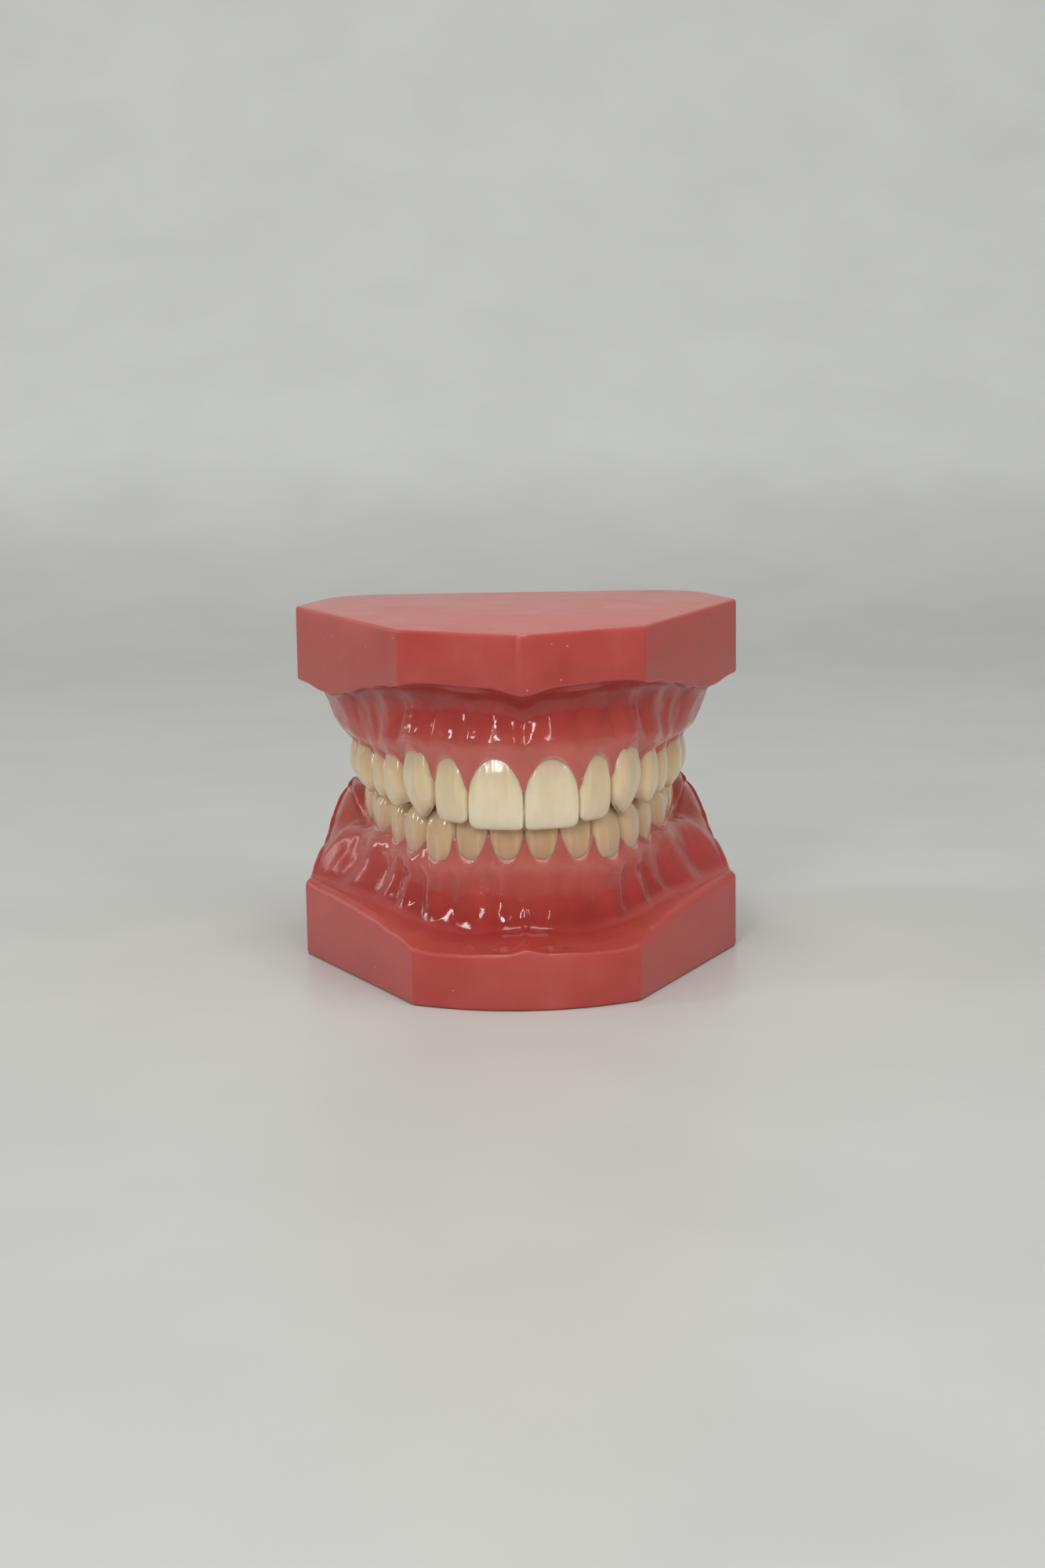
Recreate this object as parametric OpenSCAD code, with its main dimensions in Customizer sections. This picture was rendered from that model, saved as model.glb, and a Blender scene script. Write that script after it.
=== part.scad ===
// Dental study model: two trimmed pink casts in occlusion with 28 set teeth.
// Millimetres, Z up, front of the mouth toward -Y, table at Z = 0.

/* [Overall] */
// Width across the side corners of the upper base
overall_width = 75.4; // [73:0.1:80]
// Height of the closed model from the table to the top face
total_height = 59.2; // [57.5:0.1:62]
// Height of the bite plane above the table
bite_height = 28.5; // [27.8:0.1:29.2]
// Thickness of each flat ground base slab
base_thickness = 6; // [4:0.1:6.4]
// Radius of the eased corners round both bases
corner_radius = 1.2; // [0.6:0.1:2.5]
// Radius of the curved heels at the back of both bases
heel_radius = 11; // [6:0.5:13]

/* [Upper base outline] */
// Reach of the front ahead of the origin before its point is eased
upper_front = 33.9; // [33:0.1:35]
// Half width at the two front corners
upper_front_corner_x = 19.4; // [18:0.1:21]
// Reach of the two front corners ahead of the origin
upper_front_corner_y = 23.9; // [23:0.1:26]
// Distance of the side corners behind the origin
upper_side_corner_y = 15.3; // [12:0.1:18]
// Radius of the pointed front
upper_front_radius = 3; // [1:0.5:8]

/* [Lower base outline] */
// Reach of the front ahead of the origin before it is curved
lower_front = 37.4; // [36.5:0.1:38.5]
// Half width at the two front corners
lower_front_corner_x = 18; // [17:0.1:20]
// Reach of the two front corners ahead of the origin
lower_front_corner_y = 28.5; // [27.5:0.1:30]
// Inset of the lower side corners from the upper ones
lower_side_inset = 0.8; // [0:0.1:1.5]
// Distance of the side corners behind the origin
lower_side_corner_y = 8.5; // [6:0.1:12]
// Radius of the curved front
lower_front_radius = 33; // [20:1:36]

/* [Base backs] */
// Distance of the flat back faces behind the origin
back_reach = 33.6; // [32.5:0.1:36]
// Half width of the back before the heels are curved
back_half_width = 31.5; // [30:0.1:33]

/* [Dental arch] */
// Half width of the upper arch curve before its spread is added
arch_half_width = 21.5; // [21:0.1:22.3]
// Length of the arch curve from front to back
arch_length = 71; // [66:0.5:76]
// Reach of the upper contact line ahead of the origin
arch_front = 26.4; // [25.5:0.1:27.2]
// Squareness of the arch curve, 2 for an ellipse
arch_fullness = 2.73; // [2.5:0.01:2.9]
// Sideways spread of the arch for each millimetre toward the back
arch_spread = 0.077; // [0.05:0.001:0.1]
// Horizontal overlap of the upper front teeth over the lower
overjet = 2.7; // [2.5:0.1:3.4]
// Horizontal overlap of the upper back teeth over the lower
side_overjet = 1.8; // [1.6:0.1:2.4]

/* [Upper tooth widths] */
// Width of each upper central incisor
upper_central_width = 8.8; // [8.2:0.1:9.2]
// Width of each upper lateral incisor
upper_lateral_width = 6.9; // [6.3:0.1:7.4]
// Width of each upper canine
upper_canine_width = 7.9; // [7.3:0.1:8.3]
// Width of each upper first premolar
upper_first_premolar_width = 7.3; // [6.8:0.1:7.7]
// Width of each upper second premolar
upper_second_premolar_width = 6.9; // [6.5:0.1:7.3]
// Width of each upper first molar
upper_first_molar_width = 10.4; // [9.8:0.1:10.9]
// Width of each upper second molar
upper_second_molar_width = 9.8; // [9:0.1:10.2]

/* [Lower tooth widths] */
// Width of each lower central incisor
lower_central_width = 5.4; // [5:0.1:5.8]
// Width of each lower lateral incisor
lower_lateral_width = 6; // [5.6:0.1:6.4]
// Width of each lower canine
lower_canine_width = 6.9; // [6.4:0.1:7.3]
// Width of each lower first premolar
lower_first_premolar_width = 7.1; // [6.6:0.1:7.5]
// Width of each lower second premolar
lower_second_premolar_width = 7.2; // [6.7:0.1:7.6]
// Width of each lower first molar
lower_first_molar_width = 11; // [10.3:0.1:11.4]
// Width of each lower second molar
lower_second_molar_width = 10.4; // [9.6:0.1:10.8]

/* [Gum] */
// Height of the gum points between the front teeth
papilla_height = 5; // [3.5:0.1:5.5]
// Height of the boldest root ridges on the gum walls
root_ridge = 1; // [0.4:0.1:1.3]
// Height of the pads behind the last lower teeth
pad_height = 27; // [25:0.1:27.4]
// Lowest height of the floor of the tongue space
tongue_floor_height = 13; // [11:0.1:15]
// Depth of the palate below the upper base top face
palate_depth = 12; // [10:0.1:14]

/* [Fits] */
// Gap between a set tooth and its socket
socket_clearance = 0.08; // [0.04:0.01:0.15]
// Gap between neighbouring teeth
contact_gap = 0.1; // [0.06:0.01:0.2]
// Gap between upper and lower cusps in the closed bite
bite_clearance = 0.35; // [0.3:0.05:0.6]

/* [Hidden] */

base_colour = [0.74, 0.36, 0.36];
gum_colour = [0.72, 0.25, 0.25];
tooth_colour = [0.87, 0.81, 0.66];

// Each jaw is built with its base face at zero and its teeth pointing up;
// the upper jaw is then turned over. Lists hold the lower jaw, then the upper.
LOWER = 0;
UPPER = 1;
jaw_height = [bite_height, total_height - bite_height];

// Base outlines: front, front corner, side corner, back corner.
front_reach = [lower_front, upper_front];
front_corner = [[lower_front_corner_x, -lower_front_corner_y],
    [upper_front_corner_x, -upper_front_corner_y]];
side_corner = [[overall_width / 2 - lower_side_inset, lower_side_corner_y],
    [overall_width / 2, upper_side_corner_y]];
front_radius = [lower_front_radius, upper_front_radius];
arc_steps = 6;

// Angles of a full turn and its parts
full_turn = 360;
half_turn = full_turn / 2;
quarter_turn = full_turn / 4;

function unit(v) = v / norm(v);

// Points of the arc that eases the corner b between a and c.
longest_share = 0.85;
function eased(a, b, c, radius) =
    let (u = unit(a - b), v = unit(c - b), half = acos(u * v) / 2)
    let (r = min(radius, longest_share * min(norm(a - b), norm(c - b)) * tan(half)))
    let (centre = b + unit(u + v) * r / sin(half), start = b + u * r / tan(half))
    let (from = atan2(start[1] - centre[1], start[0] - centre[0]), sweep = half_turn - 2 * half)
    [for (k = [0 : arc_steps])
        centre + r * [cos(from + sweep * k / arc_steps), sin(from + sweep * k / arc_steps)]];

function mirrored(p) = [-p[0], p[1]];

function outline(jaw) =
    let (f = [0, -front_reach[jaw]], c = front_corner[jaw], s = side_corner[jaw])
    let (b = [back_half_width, back_reach])
    let (ring = [f, c, s, b, mirrored(b), mirrored(s), mirrored(c)])
    let (radii = [front_radius[jaw], corner_radius, corner_radius, heel_radius,
        heel_radius, corner_radius, corner_radius])
    let (corners = len(ring))
    [for (k = [0 : corners - 1])
        each eased(ring[(k + corners - 1) % corners], ring[k], ring[(k + 1) % corners], radii[k])];
outlines = [outline(LOWER), outline(UPPER)];

// Teeth from the midline back. Kinds: incisor, canine, premolar, molar.
INCISOR = 0;
CANINE = 1;
PREMOLAR = 2;
MOLAR = 3;
kinds = [INCISOR, INCISOR, CANINE, PREMOLAR, PREMOLAR, MOLAR, MOLAR];
teeth = len(kinds);
last = teeth - 1;
widths = [
    [lower_central_width, lower_lateral_width, lower_canine_width, lower_first_premolar_width,
        lower_second_premolar_width, lower_first_molar_width, lower_second_molar_width],
    [upper_central_width, upper_lateral_width, upper_canine_width, upper_first_premolar_width,
        upper_second_premolar_width, upper_first_molar_width, upper_second_molar_width]];
// Depth of each tooth from cheek side to tongue side
depths = [[6, 6.2, 7.6, 7.8, 8.2, 10.2, 10], [7, 6.4, 8.2, 9, 9, 10.8, 10.6]];
// Height of each crown above its gum margin
crowns = [[7.9, 8.2, 9.3, 7.9, 7.9, 6.9, 6.6], [11.6, 10.7, 11.2, 9, 7.8, 8, 7.1]];
// Reach of each crown past the bite plane
reaches = [[1.6, 1.6, 1.8, 0.9, 1.1, 0.9, 0.8], [1, 0.3, 0.5, 0, -0.3, -0.2, -0.2]];
// Outward set of each tooth from the contact line
sets = [[0, 0, 0.3, -0.3, -0.3, 0, 0], [0, 0, 0.5, -0.4, -0.3, 0, 0]];
// Lean of each crown toward the lips or cheeks, in degrees
leans = [[4, 3, 1, -1, -2, -3, -3], [7, 6, 3, 1, 1, 2, 3]];

function reach(jaw, i) = reaches[jaw][i] - (jaw == LOWER ? bite_clearance : 0);
function crown(jaw, i) = crowns[jaw][i] - (jaw == LOWER ? bite_clearance : 0);
function margin(jaw, i) = jaw_height[jaw] + reach(jaw, i) - crown(jaw, i);

// Arch curve through the contact points, t from 0 at the front to a quarter turn at the back.
arch_width = [arch_half_width - side_overjet, arch_half_width];
arch_start = [arch_front - overjet, arch_front];
function arch(jaw, t) = let (back = arch_length * (1 - pow(cos(t), 2 / arch_fullness)))
    [arch_width[jaw] * pow(sin(t), 2 / arch_fullness) + arch_spread * back, back - arch_start[jaw]];

// Angle at which the chord from t reaches the width of a tooth.
function step(jaw, t, w, lo, hi, n) = n == 0 ? (lo + hi) / 2 :
    let (mid = (lo + hi) / 2)
    norm(arch(jaw, mid) - arch(jaw, t)) < w ? step(jaw, t, w, mid, hi, n - 1)
        : step(jaw, t, w, lo, mid, n - 1);
halvings = 24;
function contacts_from(jaw, i, t) = i > last ? [t] :
    concat([t], contacts_from(jaw, i + 1, step(jaw, t, widths[jaw][i], t, quarter_turn, halvings)));
contacts = [contacts_from(LOWER, 0, 0), contacts_from(UPPER, 0, 0)];

// Crown and root rings: height, width, cheek side and tongue side as fractions.
front_rows = [[-0.62, 0.42, 0.12, 0.28], [-0.3, 0.6, 0.2, 0.42], [0, 0.76, 0.26, 0.48],
    [0.22, 0.89, 0.29, 0.44], [0.6, 1, 0.25, 0.16], [0.86, 1, 0.16, 0.08], [1, 0.93, 0.06, 0.05]];
canine_rows = [[-0.62, 0.42, 0.14, 0.28], [-0.3, 0.62, 0.23, 0.42], [0, 0.78, 0.29, 0.48],
    [0.24, 0.91, 0.32, 0.44], [0.58, 1, 0.3, 0.2], [0.84, 0.86, 0.2, 0.1], [1, 0.34, 0.06, 0.06]];
back_rows = [[-0.7, 0.5, 0.3, 0.3], [-0.35, 0.66, 0.38, 0.4], [0, 0.8, 0.43, 0.48],
    [0.3, 0.93, 0.47, 0.53], [0.62, 1, 0.46, 0.51], [0.84, 0.95, 0.41, 0.44],
    [1, 0.72, 0.31, 0.32], [0.8, 0.3, 0.08, 0.1]];
row_sets = [front_rows, canine_rows, back_rows, back_rows];
contact_row = 4;
sides = 16;
// Squareness of the tooth cross sections
roundness = 2.5;
// Depth of the valleys between cusps as a fraction of the crown
cusp_waves = [0.012, 0.09, 0.07, 0.06];

function bend(v) = sign(v) * pow(abs(v), 2 / roundness);

// Height change round the biting edge of each kind of tooth.
function wave(kind, a) =
    kind == INCISOR ? -1 - cos(2 * a) :
    kind == CANINE ? -1 - cos(2 * a) :
    kind == PREMOLAR ? -cos(2 * a) - 1 :
    -cos(4 * a) - 1;

function is_edge(rows, r) = rows[r][0] >= 1;

// Ring r of a tooth, grown by a clearance.
function ring(jaw, i, r, grow) =
    let (kind = kinds[i], rows = row_sets[kind], row = rows[r], h = crown(jaw, i))
    let (w = (widths[jaw][i] - contact_gap) / 2 * row[1] + grow)
    let (lip = depths[jaw][i] * row[2] + grow, tongue = depths[jaw][i] * row[3] + grow)
    let (ripple = is_edge(rows, r) ? h * cusp_waves[kind] : 0, sink = r == 0 ? grow : 0)
    [for (k = [0 : sides - 1]) let (a = full_turn * k / sides)
        [w * bend(cos(a)), (sin(a) > 0 ? lip : tongue) * bend(sin(a)),
            h * row[0] - sink + ripple * wave(kind, a)]];

// Triangles between stacked rings and to a middle point at each end.
function skin(count) = concat(
    [for (r = [0 : count - 2], k = [0 : sides - 1])
        [r * sides + k, (r + 1) * sides + k, (r + 1) * sides + (k + 1) % sides]],
    [for (r = [0 : count - 2], k = [0 : sides - 1])
        [r * sides + k, (r + 1) * sides + (k + 1) % sides, r * sides + (k + 1) % sides]],
    [for (k = [0 : sides - 1]) [count * sides, k, (k + 1) % sides]],
    [for (k = [0 : sides - 1])
        [count * sides + 1, (count - 1) * sides + (k + 1) % sides, (count - 1) * sides + k]]);

function middle(points) = [for (axis = [0 : 2]) [for (p = points) p[axis]] * [for (p = points) 1]]
    / len(points);

module stack(rings) {
    count = len(rings);
    polyhedron(points = concat([for (r = rings) each r], [middle(rings[0]), middle(rings[count - 1])]),
        faces = skin(count));
}

// Places a tooth between its two contact points; side is 1 or -1.
module place_tooth(jaw, i, side) {
    a = arch(jaw, contacts[jaw][i]);
    b = arch(jaw, contacts[jaw][i + 1]);
    along = unit(b - a);
    contact = crown(jaw, i) * row_sets[kinds[i]][contact_row][0];
    translate([side * (a + b)[0] / 2, (a + b)[1] / 2, margin(jaw, i) + contact])
        rotate([0, 0, atan2(-side * along[1], -along[0])])
            rotate([-leans[jaw][i], 0, 0])
                translate([0, sets[jaw][i], -contact])
                    children();
}

module jaw_frame(jaw) {
    if (jaw == LOWER)
        children();
    else
        translate([0, 0, total_height])
            rotate([0, half_turn, 0])
                children();
}

module tooth(jaw, i, side) {
    rows = row_sets[kinds[i]];
    color(tooth_colour)
        jaw_frame(jaw)
            place_tooth(jaw, i, side)
                stack([for (r = [0 : len(rows) - 1]) ring(jaw, i, r, 0)]);
}

module socket(jaw, i) {
    hull()
        stack([for (r = [0 : contact_row + 1]) ring(jaw, i, r, socket_clearance)]);
}

// Stations along the gum: 0 at the midline, one for each tooth, and one more past the back.
tooth_steps = 6;
heel_steps = 6;
heel_overrun = 3;
heel_spread = 0.6;
stations = teeth * tooth_steps + heel_steps;
function station(n) = n <= teeth * tooth_steps ? n / tooth_steps
    : teeth + (n - teeth * tooth_steps) / heel_steps;

function arch_end(jaw) = arch(jaw, contacts[jaw][teeth]);
// Angle at which the chord from the contact before s has its share of the tooth.
function spot_angle(jaw, s) = let (i = min(floor(s), last), t = contacts[jaw][i])
    step(jaw, t, widths[jaw][i] * (s - i), t, contacts[jaw][i + 1], halvings);
function spot(jaw, s) = s <= teeth ? arch(jaw, spot_angle(jaw, s)) :
    arch_end(jaw) + (s - teeth) * [heel_spread, back_reach + heel_overrun - arch_end(jaw)[1]];

// Outward direction of the gum at station s.
nudge = 0.4;
function outward(jaw, s) = s == 0 ? [0, -1] : s >= teeth ? [1, 0] :
    let (t = spot_angle(jaw, s), d = unit(arch(jaw, t + nudge) - arch(jaw, t - nudge)))
    let (heel = max(0, s - last))
    unit([d[1], -d[0]] * (1 - heel) + [1, 0] * heel);

// Distance from a point to the base outline along a direction, 0 where it is not met.
function area(a, b) = a[0] * b[1] - a[1] * b[0];
function edge_reach(p, d, a, b) =
    let (turn = area(d, b - a), share = area(a - p, d) / turn)
    turn != 0 && share >= 0 && share <= 1 ? area(a - p, b - a) / turn : 0;
function rim_reach(jaw, p, d) = let (ring = outlines[jaw], count = len(ring))
    max([for (k = [0 : count - 1]) edge_reach(p, d, ring[k], ring[(k + 1) % count])]);

// Values given at these stations are joined by smooth steps.
knots = [0, 0.5, 1.5, 2.5, 3.5, 4.5, 5.5, 6.5, 7.35, 8];
function ease(q) = q * q * (3 - 2 * q);
function between(v, s, k) = v[k] + (v[k + 1] - v[k]) * ease((s - knots[k]) / (knots[k + 1] - knots[k]));
function blend(v, s) = between(v, s, max([for (k = [0 : len(knots) - 2]) if (s >= knots[k]) k]));

// Height of the foot of the gum wall and of the rim of the land outside it
foot_heights = [[11.4, 11.2, 10.4, 11, 11.8, 12.4, 12.8, 13.2, 13, 12.8],
    [10.4, 9.6, 9.2, 9.8, 10.8, 12.4, 14, 14.2, 13.4, 12.4]];
rim_heights = [[9.6, 8.9, 8.7, 10.3, 11.4, 12, 12.4, 13, 13.1, 13.1],
    [9.5, 8.5, 8.2, 9.3, 10.6, 12.3, 13.4, 12.5, 11.9, 11.3]];
// Bow of the land between them, 1 for a straight fall
land_bows = [[1.9, 1.9, 1.9, 1.5, 1.1, 0.9, 0.9, 1, 1, 1], [1, 1, 1, 1, 1, 1, 1, 1, 1, 1]];
// Reach of the foot past the margin, and how much of it swells out at once on the heel pads
flares = [[2.2, 2.5, 2.7, 3, 3.6, 4.8, 7.2, 10.4, 5.8, 4.4],
    [2.2, 2.2, 2.2, 2.6, 3, 3.6, 4.6, 5, 5.4, 6]];
swells = [[0, 0, 0, 0, 0, 0.05, 0.25, 0.68, 0.64, 0.62], [0, 0, 0, 0, 0.1, 0.3, 0.5, 0.6, 0.5, 0.4]];
// Sharpness of the turn at the foot of the wall
wall_powers = [2.8, 2.8, 2.8, 2.7, 2.5, 2.3, 2, 2, 2, 2];
// Hollow of the wall, and where it is deepest, 1 for halfway down
hollows = [[0.6, 0.6, 0.6, 0.5, 0.4, 0.3, 0.1, 0, 0, 0],
    [1.2, 1.2, 1.1, 0.9, 0.6, 0.3, 0.1, 0, 0, 0]];
hollow_places = [0.8, 1.7];
// Root ridges as a share of the boldest, their form, and the sinking of the wall between them
ridge_shares = [[0.3, 0.35, 0.5, 0.9, 0.9, 0.6, 0.35, 0.15, 0, 0],
    [0.6, 0.7, 0.8, 1, 0.7, 0.5, 0.4, 0.3, 0, 0]];
root_width = 0.94;
root_start = 0.15;
root_length = 0.45;
root_end = 0.98;
root_fall = 3;
ridge_sink = 0.4;
// Ridge height and half widths behind the last tooth
pad_front_drop = 0.6;
upper_heel_drops = [0.5, 4];
heel_ridge = [[pad_height - pad_front_drop, pad_height],
    [for (drop = upper_heel_drops) margin(UPPER, last) - drop]];
heel_cheek = [6.2, 5];
heel_tongue = [4.6, 5];

NECK_ROW = 2;
CHEEK_COLUMN = 2;
TONGUE_COLUMN = 3;
function neck(jaw, i, column) = depths[jaw][i] * row_sets[kinds[i]][NECK_ROW][column];
function lean_shift(jaw, i) =
    sin(leans[jaw][i]) * crown(jaw, i) * row_sets[kinds[i]][contact_row][0] - sets[jaw][i];
function cheek_neck(jaw, i) = neck(jaw, i, CHEEK_COLUMN) - lean_shift(jaw, i);
function tongue_neck(jaw, i) = neck(jaw, i, TONGUE_COLUMN) + lean_shift(jaw, i);
function per_tooth(v, ends) = concat([v[0]], v, ends);
margin_lines = [for (jaw = [LOWER, UPPER])
    per_tooth([for (i = [0 : last]) margin(jaw, i)], heel_ridge[jaw])];
cheek_lines = [for (jaw = [LOWER, UPPER])
    per_tooth([for (i = [0 : last]) cheek_neck(jaw, i)], [heel_cheek[jaw], heel_cheek[jaw]])];
tongue_lines = [for (jaw = [LOWER, UPPER])
    per_tooth([for (i = [0 : last]) tongue_neck(jaw, i)], [heel_tongue[jaw], heel_tongue[jaw]])];

// Height of the gum points along the arch, as a share of the front ones
papilla_shares = [[0.9, 0.9, 0.9, 0.7, 0.5, 0.4, 0.35, 0.3, 0, 0],
    [1.1, 1.1, 1, 0.7, 0.5, 0.45, 0.4, 0.3, 0, 0]];
// Sharpness of the gum points, and the share by which the gum draws in there
papilla_sharpness = 2.4;
papilla_inset = 0.5;

// Place across a tooth: 1 at its two contacts, 0 at its middle.
function across(s) = abs(2 * (s - floor(s)) - 1);
// 1 at the gum points between teeth, 0 at the middle of a tooth and behind the last one.
function valley(s) = s > last + 0.5 ? 0 : pow(across(s), papilla_sharpness);
// Root under the gum, 1 along its middle and 0 outside its rounded end.
function root_form(s, u) = s > teeth ? 0 :
    let (down = max(0, (u - root_length) / (root_end - root_length)))
    max(0, 1 - pow(norm([across(s) / root_width, down]), root_fall)) * min(1, u / root_start);

// Reach of the gum wall past the neck line; u is 0 at the margin and 1 at the foot.
function wall_reach(jaw, s, u) =
    let (swell = blend(swells[jaw], s), power = blend(wall_powers, s))
    let (coved = 1 - pow(1 - pow(u, power), 1 / power), domed = sqrt(1 - pow(1 - u, 2)))
    let (ridge = root_form(s, u) - ridge_sink * sin(half_turn * u))
    blend(flares[jaw], s) * (coved * (1 - swell) + domed * swell)
        - blend(hollows[jaw], s) * sin(half_turn * pow(u, hollow_places[jaw]))
        + root_ridge * blend(ridge_shares[jaw], s) * ridge * (1 - swell);

// Floor of the tongue space or roof of the palate, from the gum wall to the middle.
floor_lines = [[16, 16, 15.4, 14.6, 14, 13.6, 13.2, 13, 13, 13],
    [18, 18, 16.8, 15.4, 14, 13, 12.4, 12, 12, 12]];
deepest_floor = [tongue_floor_height, palate_depth];
function floor_height(jaw, s) = blend(floor_lines[jaw], s) - min(floor_lines[jaw]) + deepest_floor[jaw];
// Rise of the floor toward the gum wall
floor_rise = [1.8, 4.8];
// Start of the middle line behind the front teeth, and its crowding toward the front
spine_inset = 22;
spine_crowding = 1.5;
function spine_y(jaw, s) =
    let (start = spot(jaw, 0)[1] + spine_inset, end = spot(jaw, teeth + 1)[1])
    start + (end - start) * pow(s / (teeth + 1), spine_crowding);

// Point at a distance outward from the arch and a height.
function off_arch(jaw, s, d, h) = let (p = spot(jaw, s) + d * outward(jaw, s)) [p[0], p[1], h];
// Point on the way from the arch (1) to the middle line (0).
function inside(jaw, s, share, h) = let (p = spot(jaw, s))
    [share * p[0], share * p[1] + (1 - share) * spine_y(jaw, s), h];

// Rolled edge of the gum round each neck: cover of the neck, thickness and depth
neck_cover = 0.1;
margin_roll = 0.3;
roll_depth = 1.1;
// Gum over the sockets and down the tongue side
crest_rise = 0.2;
tongue_drop = 0.3;
tongue_roll_drop = 0.6;
tongue_wall_run = 1.6;
// The land runs on past the rim and below the slab face, to be trimmed with the base
rim_overlap = 0.2;
land_overrun = 3;
land_sink = 1;
land_shares = [1, 0.5];
wall_climbs = [0, 0.06, 0.2, 0.4, 0.6, 0.8];
inner_shares = [0.52, 0.26, 0];

// Point of the gum wall at a share of the climb from the foot to the rolled edge.
function wall_point(jaw, s, climb, top, tip, inset) =
    let (foot = blend(foot_heights[jaw], s), root_top = top - roll_depth, shoulder = tip - roll_depth)
    let (h = foot + (shoulder - foot) * climb, u = max(0, (root_top - h) / (root_top - foot)))
    let (drawn = h > root_top ? inset * (h - root_top) / (shoulder - root_top) : 0)
    off_arch(jaw, s, blend(cheek_lines[jaw], s) + margin_roll + wall_reach(jaw, s, u) - drawn, h);

// Land from the foot of the wall (0) to the rim of the base (1).
function land_start(jaw, s) = blend(cheek_lines[jaw], s) + margin_roll + wall_reach(jaw, s, 1);
function land_end(jaw, s) =
    max(rim_reach(jaw, spot(jaw, s), outward(jaw, s)), land_start(jaw, s)) + rim_overlap;
function land_point(jaw, s, share) =
    let (foot = blend(foot_heights[jaw], s), fall = blend(rim_heights[jaw], s) - foot)
    let (d = land_start(jaw, s) * (1 - share) + land_end(jaw, s) * share)
    off_arch(jaw, s, d, foot + fall * pow(share, blend(land_bows[jaw], s)));

// Section of the gum at station s from the outside to the middle line.
function section(jaw, s) =
    let (v = valley(s), top = blend(margin_lines[jaw], s), low = floor_height(jaw, s))
    let (tip = top + papilla_height * blend(papilla_shares[jaw], s) * v, shoulder = tip - roll_depth)
    let (inset = papilla_inset * blend(cheek_lines[jaw], s) * v)
    let (cheek = blend(cheek_lines[jaw], s) - inset + neck_cover)
    let (tongue = blend(tongue_lines[jaw], s) * (1 - papilla_inset * v) + neck_cover)
    let (outer = land_end(jaw, s) + land_overrun)
    concat(
        [off_arch(jaw, s, outer, base_thickness - land_sink),
            off_arch(jaw, s, outer, blend(rim_heights[jaw], s))],
        [for (share = land_shares) land_point(jaw, s, share)],
        [for (climb = wall_climbs) wall_point(jaw, s, climb, top, tip, inset)],
        [off_arch(jaw, s, cheek + margin_roll, shoulder), off_arch(jaw, s, cheek, tip),
            off_arch(jaw, s, 0, tip + crest_rise), off_arch(jaw, s, -tongue, tip - tongue_drop),
            off_arch(jaw, s, -tongue - margin_roll, shoulder - tongue_roll_drop),
            off_arch(jaw, s, -tongue - tongue_wall_run, (shoulder + low) / 2)],
        [for (q = inner_shares) inside(jaw, s, q, low + floor_rise[jaw] * q * q)]);

profile = len(section(LOWER, 0));
spine = profile - 1;

// Point numbers: the left and right halves share the front section and the middle line.
function number(n, k) = k == spine ? (2 * stations + 1) * spine + abs(n) : (n + stations) * spine + k;

module gum_loft(jaw) {
    right = [for (n = [0 : stations]) section(jaw, station(n))];
    points = concat(
        [for (n = [-stations : stations], k = [0 : spine - 1])
            let (p = right[abs(n)][k]) [sign(n) * p[0], p[1], p[2]]],
        [for (n = [0 : stations]) [0, right[n][spine][1], right[n][spine][2]]]);
    faces = concat(
        [for (n = [-stations : stations - 1], k = [0 : spine - 1])
            [number(n, k), number(n, k + 1), number(n + 1, k)]],
        [for (n = [-stations : stations - 1], k = [0 : spine - 1])
            [number(n + 1, k), number(n, k + 1), number(n + 1, k + 1)]],
        [[for (n = [-stations : stations]) number(n, 0)]],
        [concat([for (k = [0 : spine]) number(stations, k)],
            [for (k = [spine - 1 : -1 : 0]) number(-stations, k)])]);
    polyhedron(points = points, faces = faces);
}

module base(jaw) {
    color(base_colour)
        translate([0, 0, jaw == LOWER ? 0 : total_height - base_thickness])
            linear_extrude(height = base_thickness)
                polygon(outlines[jaw]);
}

module gum(jaw) {
    color(gum_colour)
        jaw_frame(jaw)
            difference() {
                intersection() {
                    gum_loft(jaw);
                    translate([0, 0, base_thickness])
                        linear_extrude(height = jaw_height[jaw])
                            polygon(outlines[jaw]);
                }
                for (i = [0 : last], side = [-1, 1])
                    place_tooth(jaw, i, side)
                        socket(jaw, i);
            }
}

module lower_base() { base(LOWER); }
module lower_gum() { gum(LOWER); }
module upper_base() { base(UPPER); }
module upper_gum() { gum(UPPER); }
module lower_left_central_incisor() { tooth(LOWER, 0, 1); }
module lower_left_lateral_incisor() { tooth(LOWER, 1, 1); }
module lower_left_canine() { tooth(LOWER, 2, 1); }
module lower_left_first_premolar() { tooth(LOWER, 3, 1); }
module lower_left_second_premolar() { tooth(LOWER, 4, 1); }
module lower_left_first_molar() { tooth(LOWER, 5, 1); }
module lower_left_second_molar() { tooth(LOWER, 6, 1); }
module lower_right_central_incisor() { tooth(LOWER, 0, -1); }
module lower_right_lateral_incisor() { tooth(LOWER, 1, -1); }
module lower_right_canine() { tooth(LOWER, 2, -1); }
module lower_right_first_premolar() { tooth(LOWER, 3, -1); }
module lower_right_second_premolar() { tooth(LOWER, 4, -1); }
module lower_right_first_molar() { tooth(LOWER, 5, -1); }
module lower_right_second_molar() { tooth(LOWER, 6, -1); }
module upper_left_central_incisor() { tooth(UPPER, 0, -1); }
module upper_left_lateral_incisor() { tooth(UPPER, 1, -1); }
module upper_left_canine() { tooth(UPPER, 2, -1); }
module upper_left_first_premolar() { tooth(UPPER, 3, -1); }
module upper_left_second_premolar() { tooth(UPPER, 4, -1); }
module upper_left_first_molar() { tooth(UPPER, 5, -1); }
module upper_left_second_molar() { tooth(UPPER, 6, -1); }
module upper_right_central_incisor() { tooth(UPPER, 0, 1); }
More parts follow.
